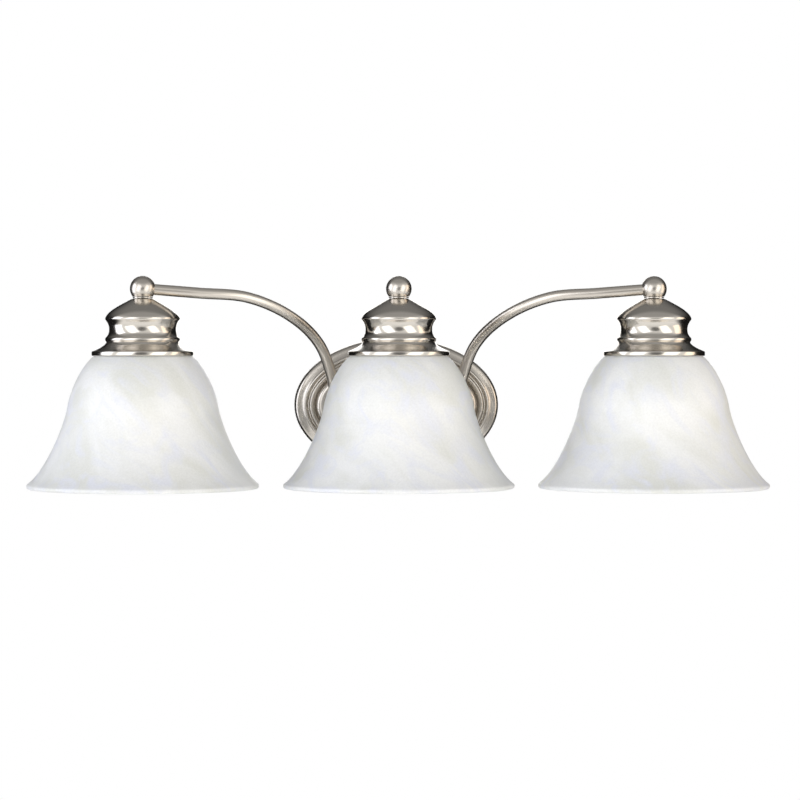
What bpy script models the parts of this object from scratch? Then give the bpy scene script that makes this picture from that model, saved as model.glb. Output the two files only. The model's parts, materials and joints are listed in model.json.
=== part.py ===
"""A three-light vanity fixture for a bathroom wall, as the separate pieces it is assembled from.

Units are metres and +Z is up. The wall is the plane Y = 0 and the fixture stands out from it along -Y.
The origin is the centre of the canopy on the wall. Each light hangs from a ball at the end of its arm,
and everything in a light is placed by its height above the rim of the light's metal holder.
"""

import math

import bmesh
import bpy
from mathutils import Vector
from mathutils.geometry import interpolate_bezier

# ---------------------------------------------------------------- overall layout
LIGHT_SPACING = 0.218
LIGHT_REACH = 0.120
RIM_HEIGHT = 0.0438
SIDES = {"left": -1, "center": 0, "right": 1}

# ---------------------------------------------------------------- clearances
GAP = 0.0003
RUNNING = 0.0005
SHADE_PLAY = 0.0009

# ---------------------------------------------------------------- canopy, the oval pan on the wall
CANOPY_WIDTH = 0.183
CANOPY_HEIGHT = 0.120
CANOPY_DEPTH = 0.024
CANOPY_WALL = 0.0012
CANOPY_SEGMENTS = 28

# ---------------------------------------------------------------- crossbar and its fasteners
CROSSBAR_LENGTH = 0.115
CROSSBAR_WIDTH = 0.020
CROSSBAR_THICKNESS = 0.002
STUD_SPACING = 0.070
STUD_RADIUS = 0.0021
BOX_SCREW_SPACING = 0.089
BOX_SCREW_RADIUS = 0.0021
SCREW_HEAD_RADIUS = 0.0040
SCREW_HEAD_HEIGHT = 0.0024
GROUND_SCREW_X = 0.019
GROUND_SCREW_RADIUS = 0.0021
CAP_NUT_RADIUS = 0.0055
CAP_NUT_SEAT = 0.0025

# ---------------------------------------------------------------- arms
ARM_RADIUS = 0.00475
ARM_WALL = 0.0010
ARM_ROOT_X = 0.054
ARM_ROOT_Z = 0.002
ARM_TAIL = 0.012
ARM_LEAD_OUT = 0.005
COLLAR_RADIUS = 0.0095
COLLAR_HEIGHT = 0.006
LOCKNUT_FLATS = 0.0150
LOCKNUT_THICKNESS = 0.0030

# ---------------------------------------------------------------- ball, washer and nipple over each light
BALL_RADIUS = 0.011
BALL_FOOT_RADIUS = 0.0087
ARM_INSERTION = 0.0050
WASHER_RADIUS = 0.0087
WASHER_THICKNESS = 0.0010
NIPPLE_RADIUS = 0.0048
NIPPLE_BORE = 0.0034
NIPPLE_GRIP_IN_BALL = 0.0050
NIPPLE_GRIP_IN_SOCKET = 0.0080
NIPPLE_NUT_FLATS = 0.0140
NIPPLE_NUT_THICKNESS = 0.0030

# ---------------------------------------------------------------- spun metal holder
HOLDER_RIM_RADIUS = 0.0435
HOLDER_HEIGHT = 0.0490
HOLDER_WALL = 0.0010
HOLDER_RIDGE_HEIGHT = 0.0310
HOLDER_CROWN_DROP = 0.0004

# ---------------------------------------------------------------- lampholder socket
SOCKET_SEAT_HEIGHT = 0.0093
SOCKET_TOP_HEIGHT = 0.0300
SOCKET_BODY_RADIUS = 0.0170
SOCKET_FLANGE_RADIUS = 0.0240
SOCKET_FLANGE_THICKNESS = 0.0030
SOCKET_SKIRT_RADIUS = 0.0176
SOCKET_SKIRT_DROP = 0.0140
SHELL_WALL = 0.0005
CONTACT_WIDTH = 0.0060
CONTACT_THICKNESS = 0.0006

# ---------------------------------------------------------------- glass shade and its threaded ring
SHADE_MOUTH_RADIUS = round(LIGHT_REACH - 0.0211, 6)
SHADE_DEPTH = 0.1110
SHADE_WALL = 0.0030
SHADE_WAIST_RADIUS = round(LIGHT_REACH - 0.0559, 6)
SHADE_WAIST_DROP = 0.0432
SHADE_HOLE_RADIUS = 0.0210
SHADE_SHOULDER = 0.0085
RING_FLANGE_RADIUS = 0.0280
RING_FLANGE_THICKNESS = 0.0030
RING_SLEEVE_WALL = 0.0030
RING_HEIGHT = 0.0095

# ---------------------------------------------------------------- bulb
BULB_BASE_RADIUS = 0.0130
BULB_BASE_LENGTH = 0.0270
BULB_BASE_WALL = 0.0006
BULB_RADIUS = 0.0300
BULB_DROP = 0.1000
BULB_WALL = 0.0010
BULB_NECK_INSERTION = 0.0060

# ---------------------------------------------------------------- wiring inside the canopy
LEAD_RADIUS = 0.0012
GROUND_LEAD_RADIUS = 0.0008
WIRE_NUT_RADIUS = 0.0060
WIRE_NUT_LENGTH = 0.0180
WIRE_NUT_BORE = 0.0035
WIRE_NUT_X = 0.010
WIRE_NUT_Z = -0.028
WIRE_NUT_DEPTH = 0.0120

# The arm's bends between its root and its ball: shares of the span across, forward and up.
SIDE_ARM_BENDS = (
    (0.024, 0.19, 0.248),
    (0.085, 0.33, 0.519),
    (0.234, 0.60, 0.764),
    (0.460, 0.83, 0.928),
    (0.713, 0.94, 0.964),
)
CENTER_ARM_BENDS = (
    (0.0, 0.135, 0.13),
    (0.0, 0.200, 0.43),
    (0.0, 0.335, 0.76),
    (0.0, 0.640, 0.955),
)

# Surface finishes: colour, roughness and metallic value.
FINISHES = {
    "brushed_nickel": ((0.56, 0.54, 0.51), 0.28, 1.0),
    "polished_nickel": ((0.66, 0.64, 0.61), 0.14, 1.0),
    "marbled_glass": ((0.90, 0.91, 0.90), 0.30, 0.0),
    "frosted_bulb": ((0.95, 0.95, 0.92), 0.40, 0.0),
    "aluminium": ((0.78, 0.78, 0.79), 0.30, 1.0),
    "zinc_steel": ((0.58, 0.59, 0.60), 0.38, 1.0),
    "brass": ((0.72, 0.56, 0.26), 0.30, 1.0),
    "porcelain": ((0.86, 0.85, 0.81), 0.25, 0.0),
    "phenolic": ((0.03, 0.03, 0.03), 0.35, 0.0),
    "green_screw": ((0.08, 0.35, 0.16), 0.35, 1.0),
    "black_lead": ((0.02, 0.02, 0.02), 0.45, 0.0),
    "white_lead": ((0.82, 0.82, 0.80), 0.45, 0.0),
    "copper": ((0.72, 0.42, 0.28), 0.30, 1.0),
    "orange_nylon": ((0.85, 0.33, 0.06), 0.40, 0.0),
}


# ---------------------------------------------------------------- modelling helpers
def clear_scene():
    for obj in list(bpy.data.objects):
        bpy.data.objects.remove(obj, do_unlink=True)


def finish(name):
    """The material of this name, made the first time it is asked for."""
    found = bpy.data.materials.get(name)
    if found:
        return found
    colour, roughness, metallic = FINISHES[name]
    made = bpy.data.materials.new(name)
    made.use_nodes = True
    made.diffuse_color = (*colour, 1.0)
    shader = made.node_tree.nodes["Principled BSDF"]
    shader.inputs["Base Color"].default_value = (*colour, 1.0)
    shader.inputs["Roughness"].default_value = roughness
    shader.inputs["Metallic"].default_value = metallic
    return made


def place(name, data, material, location=(0, 0, 0)):
    """One named object with its own material."""
    obj = bpy.data.objects.new(name, data)
    obj.location = location
    data.materials.append(finish(material))
    bpy.context.scene.collection.objects.link(obj)
    return obj


def skin(name, rings, material, location=(0, 0, 0), looped=True):
    """A closed body through rings of points: its ends join each other when looped, or are capped."""
    bm = bmesh.new()
    rows = [[bm.verts.new(point) for point in ring] for ring in rings]
    pairs = list(zip(rows, rows[1:]))
    if looped:
        pairs.append((rows[-1], rows[0]))
    else:
        bm.faces.new(rows[0])
        bm.faces.new(rows[-1])
    for low, high in pairs:
        for i in range(len(low)):
            j = (i + 1) % len(low)
            bm.faces.new((low[i], low[j], high[j], high[i]))
    bmesh.ops.recalc_face_normals(bm, faces=bm.faces)
    mesh = bpy.data.meshes.new(name)
    bm.to_mesh(mesh)
    bm.free()
    mesh.shade_smooth()
    mesh.set_sharp_from_angle(angle=math.radians(40))
    return place(name, mesh, material, location)


def circle(radius, height, segments):
    turns = [math.tau * i / segments for i in range(segments)]
    return [Vector((radius * math.cos(a), radius * math.sin(a), height)) for a in turns]


def turned(name, outline, material, location=(0, 0, 0), segments=16, looped=True):
    """A body turned about the vertical from (radius, height) points."""
    rings = [circle(radius, height, segments) for radius, height in outline]
    return skin(name, rings, material, location, looped)


def turned_forward(name, outline, material, location, segments=12, looped=True):
    """A body turned about the Y axis from (radius, distance towards -Y) points."""
    rings = [
        [Vector((p.x, -reach, p.y)) for p in circle(radius, 0.0, segments)]
        for radius, reach in outline
    ]
    return skin(name, rings, material, location, looped)


def offset_outline(outline, distance):
    """The outline moved to its own left by the distance, with mitred corners."""
    points = [Vector(p) for p in outline]
    normals = []
    for a, b in zip(points, points[1:]):
        along = (b - a).normalized()
        normals.append(Vector((-along.y, along.x)))
    before = [normals[0]] + normals
    after = normals + [normals[-1]]
    moved = []
    for point, m, n in zip(points, before, after):
        moved.append(point + (m + n) * distance / (1.0 + m.dot(n)))
    return [tuple(p) for p in moved]


def bezier(start, start_handle, end_handle, end, count):
    """Points on one Bezier curve, whose handles are given from their own ends."""
    a = Vector((*start, 0.0))
    d = Vector((*end, 0.0))
    b = a + Vector((*start_handle, 0.0))
    c = d + Vector((*end_handle, 0.0))
    return [(p.x, p.y) for p in interpolate_bezier(a, b, c, d, count)]


def smooth_route(points, steps):
    """A curve through the points. Stretches whose neighbours are in line with them stay straight."""
    route = [Vector(p) for p in points]
    ahead = [(b - a).normalized() for a, b in zip(route, route[1:])]
    turns = [ahead[0]] + [(a + b).normalized() for a, b in zip(ahead, ahead[1:])] + [ahead[-1]]
    curve = [route[0]]
    for i, straight in enumerate(ahead):
        third = (route[i + 1] - route[i]).length / 3.0
        first = route[i] + turns[i] * third
        second = route[i + 1] - turns[i + 1] * third
        bent = turns[i].angle(straight) + turns[i + 1].angle(straight) > 0.02
        count = steps + 1 if bent else 2
        curve += interpolate_bezier(route[i], first, second, route[i + 1], count)[1:]
    return curve


def rod_along(name, route, radius, material, wall=0.0):
    """A round rod along the route, or a tube open at both ends when it has a wall."""
    data = bpy.data.curves.new(name, "CURVE")
    data.dimensions = "3D"
    data.bevel_depth = radius
    data.bevel_resolution = 2
    data.use_fill_caps = not wall
    data.twist_mode = "MINIMUM"
    spline = data.splines.new("POLY")
    spline.points.add(len(route) - 1)
    for point, place_at in zip(spline.points, route):
        point.co = (*place_at, 1.0)
    obj = place(name, data, material)
    if wall:
        shell = obj.modifiers.new("wall", "SOLIDIFY")
        shell.thickness = wall
        shell.offset = -1.0
    return obj


def cut(target, cutter):
    """Subtracts the cutter, which stays in the scene as a hidden guide."""
    cutter.hide_render = True
    cutter.display_type = "WIRE"
    boolean = target.modifiers.new("cut", "BOOLEAN")
    boolean.operation = "DIFFERENCE"
    boolean.object = cutter


def hexagon(flats, points_per_side):
    """Points round a hexagon of this size across its flats."""
    corners = [
        Vector((math.cos(math.tau * i / 6), math.sin(math.tau * i / 6))) for i in range(6)
    ]
    corner_radius = flats / math.sqrt(3.0)
    ring = []
    for i, corner in enumerate(corners):
        following = corners[(i + 1) % 6]
        for k in range(points_per_side):
            ring.append(corner.lerp(following, k / points_per_side) * corner_radius)
    return ring


def hex_nut(name, flats, bore, thickness, axis, material, location):
    """A hexagonal nut whose bore runs along Z or Y, standing from its location along -Y or +Z."""
    outer = hexagon(flats, 2)
    inner = [p.normalized() * bore for p in outer]
    rings = [(outer, 0.0), (outer, thickness), (inner, thickness), (inner, 0.0)]
    if axis == "Z":
        solid = [[Vector((p.x, p.y, h)) for p in ring] for ring, h in rings]
    else:
        solid = [[Vector((p.x, -h, p.y)) for p in ring] for ring, h in rings]
    return skin(name, solid, material, location)


def bore_round(radius, clearance, segments):
    """The corner radius of a bore whose flats clear a round piece of this radius."""
    return (radius + clearance) / math.cos(math.pi / segments)


# ---------------------------------------------------------------- sizes that follow from the others
BALL_FOOT_DROP = math.sqrt(BALL_RADIUS**2 - BALL_FOOT_RADIUS**2)
WASHER_HEIGHT = HOLDER_HEIGHT + GAP
BALL_FOOT_HEIGHT = WASHER_HEIGHT + WASHER_THICKNESS + GAP
BALL_HEIGHT = BALL_FOOT_HEIGHT + BALL_FOOT_DROP
SHADE_NECK_RADIUS = HOLDER_RIM_RADIUS - HOLDER_WALL - SHADE_PLAY
SHADE_TOP = SOCKET_SEAT_HEIGHT - GAP
RING_TOP = SHADE_TOP - SHADE_WALL - GAP
SHELL_OUTER_RADIUS = BULB_BASE_RADIUS + RUNNING + SHELL_WALL
CAVITY_RADIUS = SHELL_OUTER_RADIUS + GAP
BULB_TOP = BULB_BASE_LENGTH - SOCKET_SKIRT_DROP - 0.0030
BULB_BASE_RIM = BULB_TOP - BULB_BASE_LENGTH
CONTACT_HEIGHT = BULB_TOP + GAP
CAVITY_TOP = CONTACT_HEIGHT + CONTACT_THICKNESS + 0.0020
CANOPY_INSIDE = CANOPY_DEPTH - CANOPY_WALL
LIGHT_ROUND = 16
SMALL_ROUND = 12


def light_at(side, height=0.0):
    """The point on a light's axis this far above its holder's rim."""
    return Vector((SIDES[side] * LIGHT_SPACING, -LIGHT_REACH, RIM_HEIGHT + height))


def arm_root(side):
    return Vector((SIDES[side] * ARM_ROOT_X, 0.0, ARM_ROOT_Z))


def arm_route(side):
    """The arm's centre line: out through the canopy, round its bends and straight into the ball."""
    root = arm_root(side)
    tail = root + Vector((0, -(CANOPY_DEPTH - ARM_TAIL), 0))
    collar_front = root + Vector((0, -(CANOPY_DEPTH + COLLAR_HEIGHT), 0))
    start = collar_front + Vector((0, -ARM_LEAD_OUT, 0))
    ball = light_at(side, BALL_HEIGHT)
    span = ball - start
    bends = SIDE_ARM_BENDS if SIDES[side] else CENTER_ARM_BENDS
    route = [tail, collar_front, start]
    route += [start + Vector((span.x * x, span.y * y, span.z * z)) for x, y, z in bends]
    towards = (route[-1] - ball).normalized()
    route.append(ball + towards * (BALL_RADIUS + GAP))
    route.append(ball + towards * (BALL_RADIUS - ARM_INSERTION))
    return route


# ---------------------------------------------------------------- wall side
def make_crossbar():
    half = CROSSBAR_LENGTH / 2
    across = CROSSBAR_WIDTH / 2
    rings = []
    for y in (0.0, -CROSSBAR_THICKNESS):
        rings.append([
            Vector((-half, y, -across)),
            Vector((half, y, -across)),
            Vector((half, y, across)),
            Vector((-half, y, across)),
        ])
    bar = skin("mounting_crossbar", rings, "zinc_steel", looped=False)
    through = CROSSBAR_THICKNESS + 2 * GAP
    holes = [(GROUND_SCREW_X, GROUND_SCREW_RADIUS), (0.0, CROSSBAR_WIDTH * 0.28)]
    for side in (-1, 1):
        holes.append((side * STUD_SPACING / 2, STUD_RADIUS))
        holes.append((side * BOX_SCREW_SPACING / 2, BOX_SCREW_RADIUS))
    for x, radius in holes:
        bore = bore_round(radius, GAP, SMALL_ROUND)
        outline = [(bore, -GAP), (bore, through)]
        cutter = turned_forward("crossbar_hole", outline, "zinc_steel", (x, 0, 0), looped=False)
        cut(bar, cutter)


def make_canopy():
    """The oval pan: a short wall, a cove, two raised beads and a flat panel, all one thickness."""
    depth = CANOPY_DEPTH
    outline = [
        (0.0, 0.0),
        (-0.0008, depth * 0.36),
        (-0.0030, depth * 0.50),
        (-0.0085, depth * 0.62),
        (-0.0100, depth * 0.76),
        (-0.0122, depth * 0.78),
        (-0.0150, depth * 0.74),
        (-0.0170, depth * 0.88),
        (-0.0195, depth),
    ]
    inner = offset_outline(outline, CANOPY_WALL)
    inner[0] = (inner[0][0], 0.0)
    inner[-1] = (inner[-1][0], CANOPY_INSIDE)
    rings = []
    for change, height in reversed(inner):
        rings.append(oval(change, height))
    for change, height in outline:
        rings.append(oval(change, height))
    pan = skin("canopy", rings, "brushed_nickel", looped=False)
    holes = [(side * STUD_SPACING / 2, 0.0, STUD_RADIUS, RUNNING) for side in (-1, 1)]
    for side in SIDES:
        holes.append((arm_root(side).x, ARM_ROOT_Z, ARM_RADIUS, GAP))
    for x, z, radius, clearance in holes:
        bore = bore_round(radius, clearance, SMALL_ROUND)
        outline = [(bore, CANOPY_INSIDE - GAP), (bore, CANOPY_DEPTH + GAP)]
        cutter = turned_forward("canopy_hole", outline, "brushed_nickel", (x, 0, z), looped=False)
        cut(pan, cutter)


def oval(change, height):
    """A ring of the canopy, its outer edge moved out by the change, this far out from the wall."""
    ring = []
    for i in range(CANOPY_SEGMENTS):
        angle = math.tau * i / CANOPY_SEGMENTS
        x = (CANOPY_WIDTH / 2 + change) * math.cos(angle)
        z = (CANOPY_HEIGHT / 2 + change) * math.sin(angle)
        ring.append(Vector((x, -height, z)))
    return ring


def make_wall_fasteners():
    """Two studs with ball cap nuts hold the canopy, and screws hold the crossbar and the ground lead."""
    nut_seat = CANOPY_DEPTH + GAP
    nut_bore = bore_round(STUD_RADIUS, GAP, SMALL_ROUND)
    stud_end = nut_seat + CAP_NUT_SEAT + CAP_NUT_RADIUS
    dome = [
        (CAP_NUT_RADIUS * math.cos(a), nut_seat + CAP_NUT_SEAT + CAP_NUT_RADIUS * (1 + math.sin(a)))
        for a in (math.radians(-50), math.radians(-20), math.radians(15), math.radians(50), math.radians(80))
    ]
    cap_nut = [
        (nut_bore, stud_end + GAP),
        (nut_bore, nut_seat),
        (CAP_NUT_RADIUS, nut_seat),
        (CAP_NUT_RADIUS * 0.8, nut_seat + CAP_NUT_SEAT * 0.6),
    ] + dome
    for side, sign in SIDES.items():
        if not sign:
            continue
        at = (sign * STUD_SPACING / 2, 0, 0)
        stud = [(STUD_RADIUS, 0.0), (STUD_RADIUS, stud_end)]
        turned_forward(f"crossbar_stud_{side}", stud, "zinc_steel", at, looped=False)
        turned_forward(f"cap_nut_{side}", cap_nut, "polished_nickel", at, looped=False)
        at = (sign * BOX_SCREW_SPACING / 2, 0, 0)
        make_screw(f"box_screw_{side}", BOX_SCREW_RADIUS, "zinc_steel", at)
    make_screw("ground_screw", GROUND_SCREW_RADIUS, "green_screw", (GROUND_SCREW_X, 0, 0))


def make_screw(name, radius, material, at):
    under_head = CROSSBAR_THICKNESS + GAP
    outline = [
        (radius, 0.0),
        (radius, under_head),
        (SCREW_HEAD_RADIUS, under_head),
        (SCREW_HEAD_RADIUS, under_head + SCREW_HEAD_HEIGHT * 0.5),
        (SCREW_HEAD_RADIUS * 0.6, under_head + SCREW_HEAD_HEIGHT),
    ]
    turned_forward(name, outline, material, at, looped=False)


# ---------------------------------------------------------------- arms
def make_arm(side):
    """The bent tube, the turned collar where it leaves the canopy and the nut that holds it inside."""
    rod_along(f"arm_{side}", smooth_route(arm_route(side), 3), ARM_RADIUS, "brushed_nickel", ARM_WALL)
    bore = bore_round(ARM_RADIUS, GAP, SMALL_ROUND)
    foot = CANOPY_DEPTH + GAP
    collar = [
        (bore, foot),
        (COLLAR_RADIUS, foot),
        (COLLAR_RADIUS, foot + COLLAR_HEIGHT * 0.35),
        (COLLAR_RADIUS * 0.78, foot + COLLAR_HEIGHT * 0.55),
        (COLLAR_RADIUS * 0.74, foot + COLLAR_HEIGHT - 2 * GAP),
        (bore, foot + COLLAR_HEIGHT - 2 * GAP),
    ]
    turned_forward(f"arm_collar_{side}", collar, "brushed_nickel", arm_root(side))
    at = arm_root(side) + Vector((0, -(CANOPY_INSIDE - GAP - LOCKNUT_THICKNESS), 0))
    hex_nut(f"arm_locknut_{side}", LOCKNUT_FLATS, bore, LOCKNUT_THICKNESS, "Y", "zinc_steel", at)


# ---------------------------------------------------------------- metal over each light
def make_ball(side):
    """The ball, flat underneath, bored up for the nipple and across for the arm."""
    nipple_bore = bore_round(NIPPLE_RADIUS, GAP, LIGHT_ROUND)
    lowest = -math.asin(BALL_FOOT_DROP / BALL_RADIUS)
    outline = [(nipple_bore, NIPPLE_GRIP_IN_BALL + GAP - BALL_FOOT_DROP), (nipple_bore, -BALL_FOOT_DROP)]
    steps = 7
    for i in range(steps):
        angle = lowest + (math.radians(84) - lowest) * i / (steps - 1)
        outline.append((BALL_RADIUS * math.cos(angle), BALL_RADIUS * math.sin(angle)))
    centre = light_at(side, BALL_HEIGHT)
    ball = turned(f"ball_{side}", outline, "polished_nickel", centre, looped=False)
    route = arm_route(side)
    towards = (route[-2] - centre).normalized()
    bore = bore_round(ARM_RADIUS, GAP, SMALL_ROUND)
    cutter = turned("ball_bore", [(bore, 0.0), (bore, 2 * BALL_RADIUS)], "polished_nickel",
                    centre, SMALL_ROUND, looped=False)
    cutter.rotation_euler = towards.to_track_quat("Z", "Y").to_euler()
    cut(ball, cutter)


def make_holder_stack(side):
    """Washer, threaded nipple, spun holder and the nut that clamps the holder from inside."""
    clear = bore_round(NIPPLE_RADIUS, GAP, LIGHT_ROUND)
    low, high = WASHER_HEIGHT, WASHER_HEIGHT + WASHER_THICKNESS
    washer = [(clear, low), (WASHER_RADIUS, low), (WASHER_RADIUS, high), (clear, high)]
    turned(f"seat_washer_{side}", washer, "polished_nickel", light_at(side))

    low = SOCKET_TOP_HEIGHT - NIPPLE_GRIP_IN_SOCKET
    high = BALL_FOOT_HEIGHT + NIPPLE_GRIP_IN_BALL
    nipple = [(NIPPLE_BORE, low), (NIPPLE_RADIUS, low), (NIPPLE_RADIUS, high), (NIPPLE_BORE, high)]
    turned(f"nipple_{side}", nipple, "zinc_steel", light_at(side))

    outer = holder_outline(clear)
    inner = offset_outline(outer, HOLDER_WALL)
    inner[0] = (inner[0][0], 0.0)
    inner[-1] = (clear, HOLDER_HEIGHT - HOLDER_WALL)
    turned(f"holder_{side}", outer + inner[::-1], "polished_nickel", light_at(side), 16)

    nut_top = HOLDER_HEIGHT - HOLDER_WALL - GAP - HOLDER_CROWN_DROP
    at = light_at(side, nut_top - NIPPLE_NUT_THICKNESS)
    nut_bore = bore_round(NIPPLE_RADIUS, GAP, SMALL_ROUND)
    hex_nut(f"nipple_nut_{side}", NIPPLE_NUT_FLATS, nut_bore, NIPPLE_NUT_THICKNESS, "Z", "zinc_steel", at)


def holder_outline(hole):
    """The spun holder from its rim up: lip, cove, groove, bead, waist, sharp ridge and dome."""
    rim = HOLDER_RIM_RADIUS
    ridge = (rim - 0.0115, HOLDER_RIDGE_HEIGHT)
    crown = (NIPPLE_NUT_FLATS / math.sqrt(3.0) + 0.0006, HOLDER_HEIGHT)
    steps = [
        (rim, 0.0),
        (rim, 0.0030),
        (rim - 0.0060, 0.0080),
        (rim - 0.0124, 0.0124),
        (rim - 0.0118, 0.0165),
        (rim - 0.0148, 0.0225),
        (rim - 0.0130, 0.0265),
    ]
    dome = bezier(ridge, (-0.0030, 0.0080), (0.0080, -0.0004), crown, 5)
    return steps + dome + [(hole, HOLDER_HEIGHT)]


# ---------------------------------------------------------------- socket
def make_socket(side):
    """The lampholder: threaded skirt, flange the glass seats under, body and a wire way to the nipple."""
    seat = SOCKET_SEAT_HEIGHT
    shoulder = seat + SOCKET_FLANGE_THICKNESS
    top = SOCKET_TOP_HEIGHT
    grip = bore_round(NIPPLE_RADIUS, GAP, LIGHT_ROUND)
    floor = top - NIPPLE_GRIP_IN_SOCKET - GAP
    body = [
        (CAVITY_RADIUS, -SOCKET_SKIRT_DROP),
        (SOCKET_SKIRT_RADIUS, -SOCKET_SKIRT_DROP),
        (SOCKET_SKIRT_RADIUS, seat),
        (SOCKET_FLANGE_RADIUS, seat),
        (SOCKET_FLANGE_RADIUS, shoulder),
        (SOCKET_BODY_RADIUS, shoulder),
        (SOCKET_BODY_RADIUS, top - 0.003),
        (SOCKET_BODY_RADIUS - 0.003, top),
        (grip, top),
        (grip, floor),
        (NIPPLE_BORE, floor),
        (NIPPLE_BORE, CAVITY_TOP),
        (CAVITY_RADIUS, CAVITY_TOP),
    ]
    turned(f"socket_{side}", body, "porcelain", light_at(side))

    inner = SHELL_OUTER_RADIUS - SHELL_WALL
    low, high = -SOCKET_SKIRT_DROP + GAP, BULB_TOP - 0.003
    shell = [(inner, low), (SHELL_OUTER_RADIUS, low), (SHELL_OUTER_RADIUS, high), (inner, high)]
    turned(f"screw_shell_{side}", shell, "aluminium", light_at(side))

    make_contact(side)


def make_contact(side):
    """The springy centre contact: a bent brass strip from the cavity's roof to over the bulb's tip."""
    half = CONTACT_WIDTH / 2
    reach = CAVITY_RADIUS * 0.62
    low, roof = CONTACT_HEIGHT, CAVITY_TOP - GAP
    thick = CONTACT_THICKNESS
    outline = [
        (-half, low),
        (half, low),
        (reach, roof - thick),
        (reach + half, roof - thick),
        (reach + half, roof),
        (reach - thick, roof),
        (half - thick, low + thick),
        (-half, low + thick),
    ]
    rings = [[Vector((x, y, z)) for x, z in outline] for y in (-half, half)]
    skin(f"center_contact_{side}", rings, "brass", light_at(side), looped=False)


# ---------------------------------------------------------------- shade and ring
def shade_outline():
    """The bell's outer face from its mouth up to the hole in its flat top."""
    mouth = (SHADE_MOUTH_RADIUS, -SHADE_DEPTH)
    waist = (SHADE_WAIST_RADIUS, -SHADE_WAIST_DROP)
    neck = (SHADE_NECK_RADIUS, 0.0)
    flare = bezier(mouth, (-0.0155, 0.0115), (0.0024, -0.0154), waist, 7)
    bell = bezier(waist, (-0.0020, 0.0127), (0.0113, -0.0089), neck, 5)
    shoulder = [
        (SHADE_NECK_RADIUS - SHADE_SHOULDER * 0.40, SHADE_TOP * 0.50),
        (SHADE_NECK_RADIUS - SHADE_SHOULDER, SHADE_TOP),
        (SHADE_HOLE_RADIUS, SHADE_TOP),
    ]
    return flare + bell[1:] + shoulder


def make_shade(side):
    outer = shade_outline()
    inner = offset_outline(outer, SHADE_WALL)
    outward = (Vector(outer[0]) - Vector(outer[1])).normalized() * SHADE_WALL / 2
    lip = (Vector(outer[0]) + Vector(inner[0])) / 2 + outward
    turned(f"shade_{side}", outer + inner[::-1] + [tuple(lip)], "marbled_glass", light_at(side), 20)


def make_ring(side):
    """The threaded ring that clamps the glass up against the socket's flange."""
    bore = bore_round(SOCKET_SKIRT_RADIUS, GAP, LIGHT_ROUND)
    sleeve = bore + RING_SLEEVE_WALL
    low, high = RING_TOP - RING_HEIGHT, RING_TOP
    under = high - RING_FLANGE_THICKNESS
    ring = [
        (bore, low),
        (sleeve, low),
        (sleeve, under),
        (RING_FLANGE_RADIUS, under),
        (RING_FLANGE_RADIUS, high),
        (bore, high),
    ]
    turned(f"shade_ring_{side}", ring, "phenolic", light_at(side))


# ---------------------------------------------------------------- bulb
def make_bulb(side):
    """A frosted bulb: its metal screw base, and the glass envelope whose neck sits in the base."""
    tip = BULB_TOP
    inner = BULB_BASE_RADIUS - BULB_BASE_WALL
    base = [
        (inner, tip - 0.0070),
        (inner, BULB_BASE_RIM),
        (BULB_BASE_RADIUS, BULB_BASE_RIM),
        (BULB_BASE_RADIUS, tip - 0.0055),
        (BULB_BASE_RADIUS * 0.70, tip - 0.0020),
        (BULB_BASE_RADIUS * 0.36, tip - 0.0015),
        (BULB_BASE_RADIUS * 0.30, tip),
    ]
    turned(f"bulb_base_{side}", base, "aluminium", light_at(side), looped=False)

    neck = inner - GAP
    globe = (BULB_RADIUS, -BULB_DROP + BULB_RADIUS)
    chin = (BULB_RADIUS * 0.12, -BULB_DROP)
    flare = bezier(globe, (0.0, 0.0160), (0.0, -0.0160), (neck, BULB_BASE_RIM), 6)
    crown = bezier(chin, (0.0130, 0.0), (0.0, -0.0165), globe, 5)
    outer = crown + flare[1:] + [(neck, BULB_BASE_RIM + BULB_NECK_INSERTION)]
    hollow = offset_outline(outer, BULB_WALL)
    hollow[0] = (chin[0], -BULB_DROP + BULB_WALL)
    turned(f"bulb_glass_{side}", outer + hollow[::-1], "frosted_bulb", light_at(side), SMALL_ROUND,
           looped=False)


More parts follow.
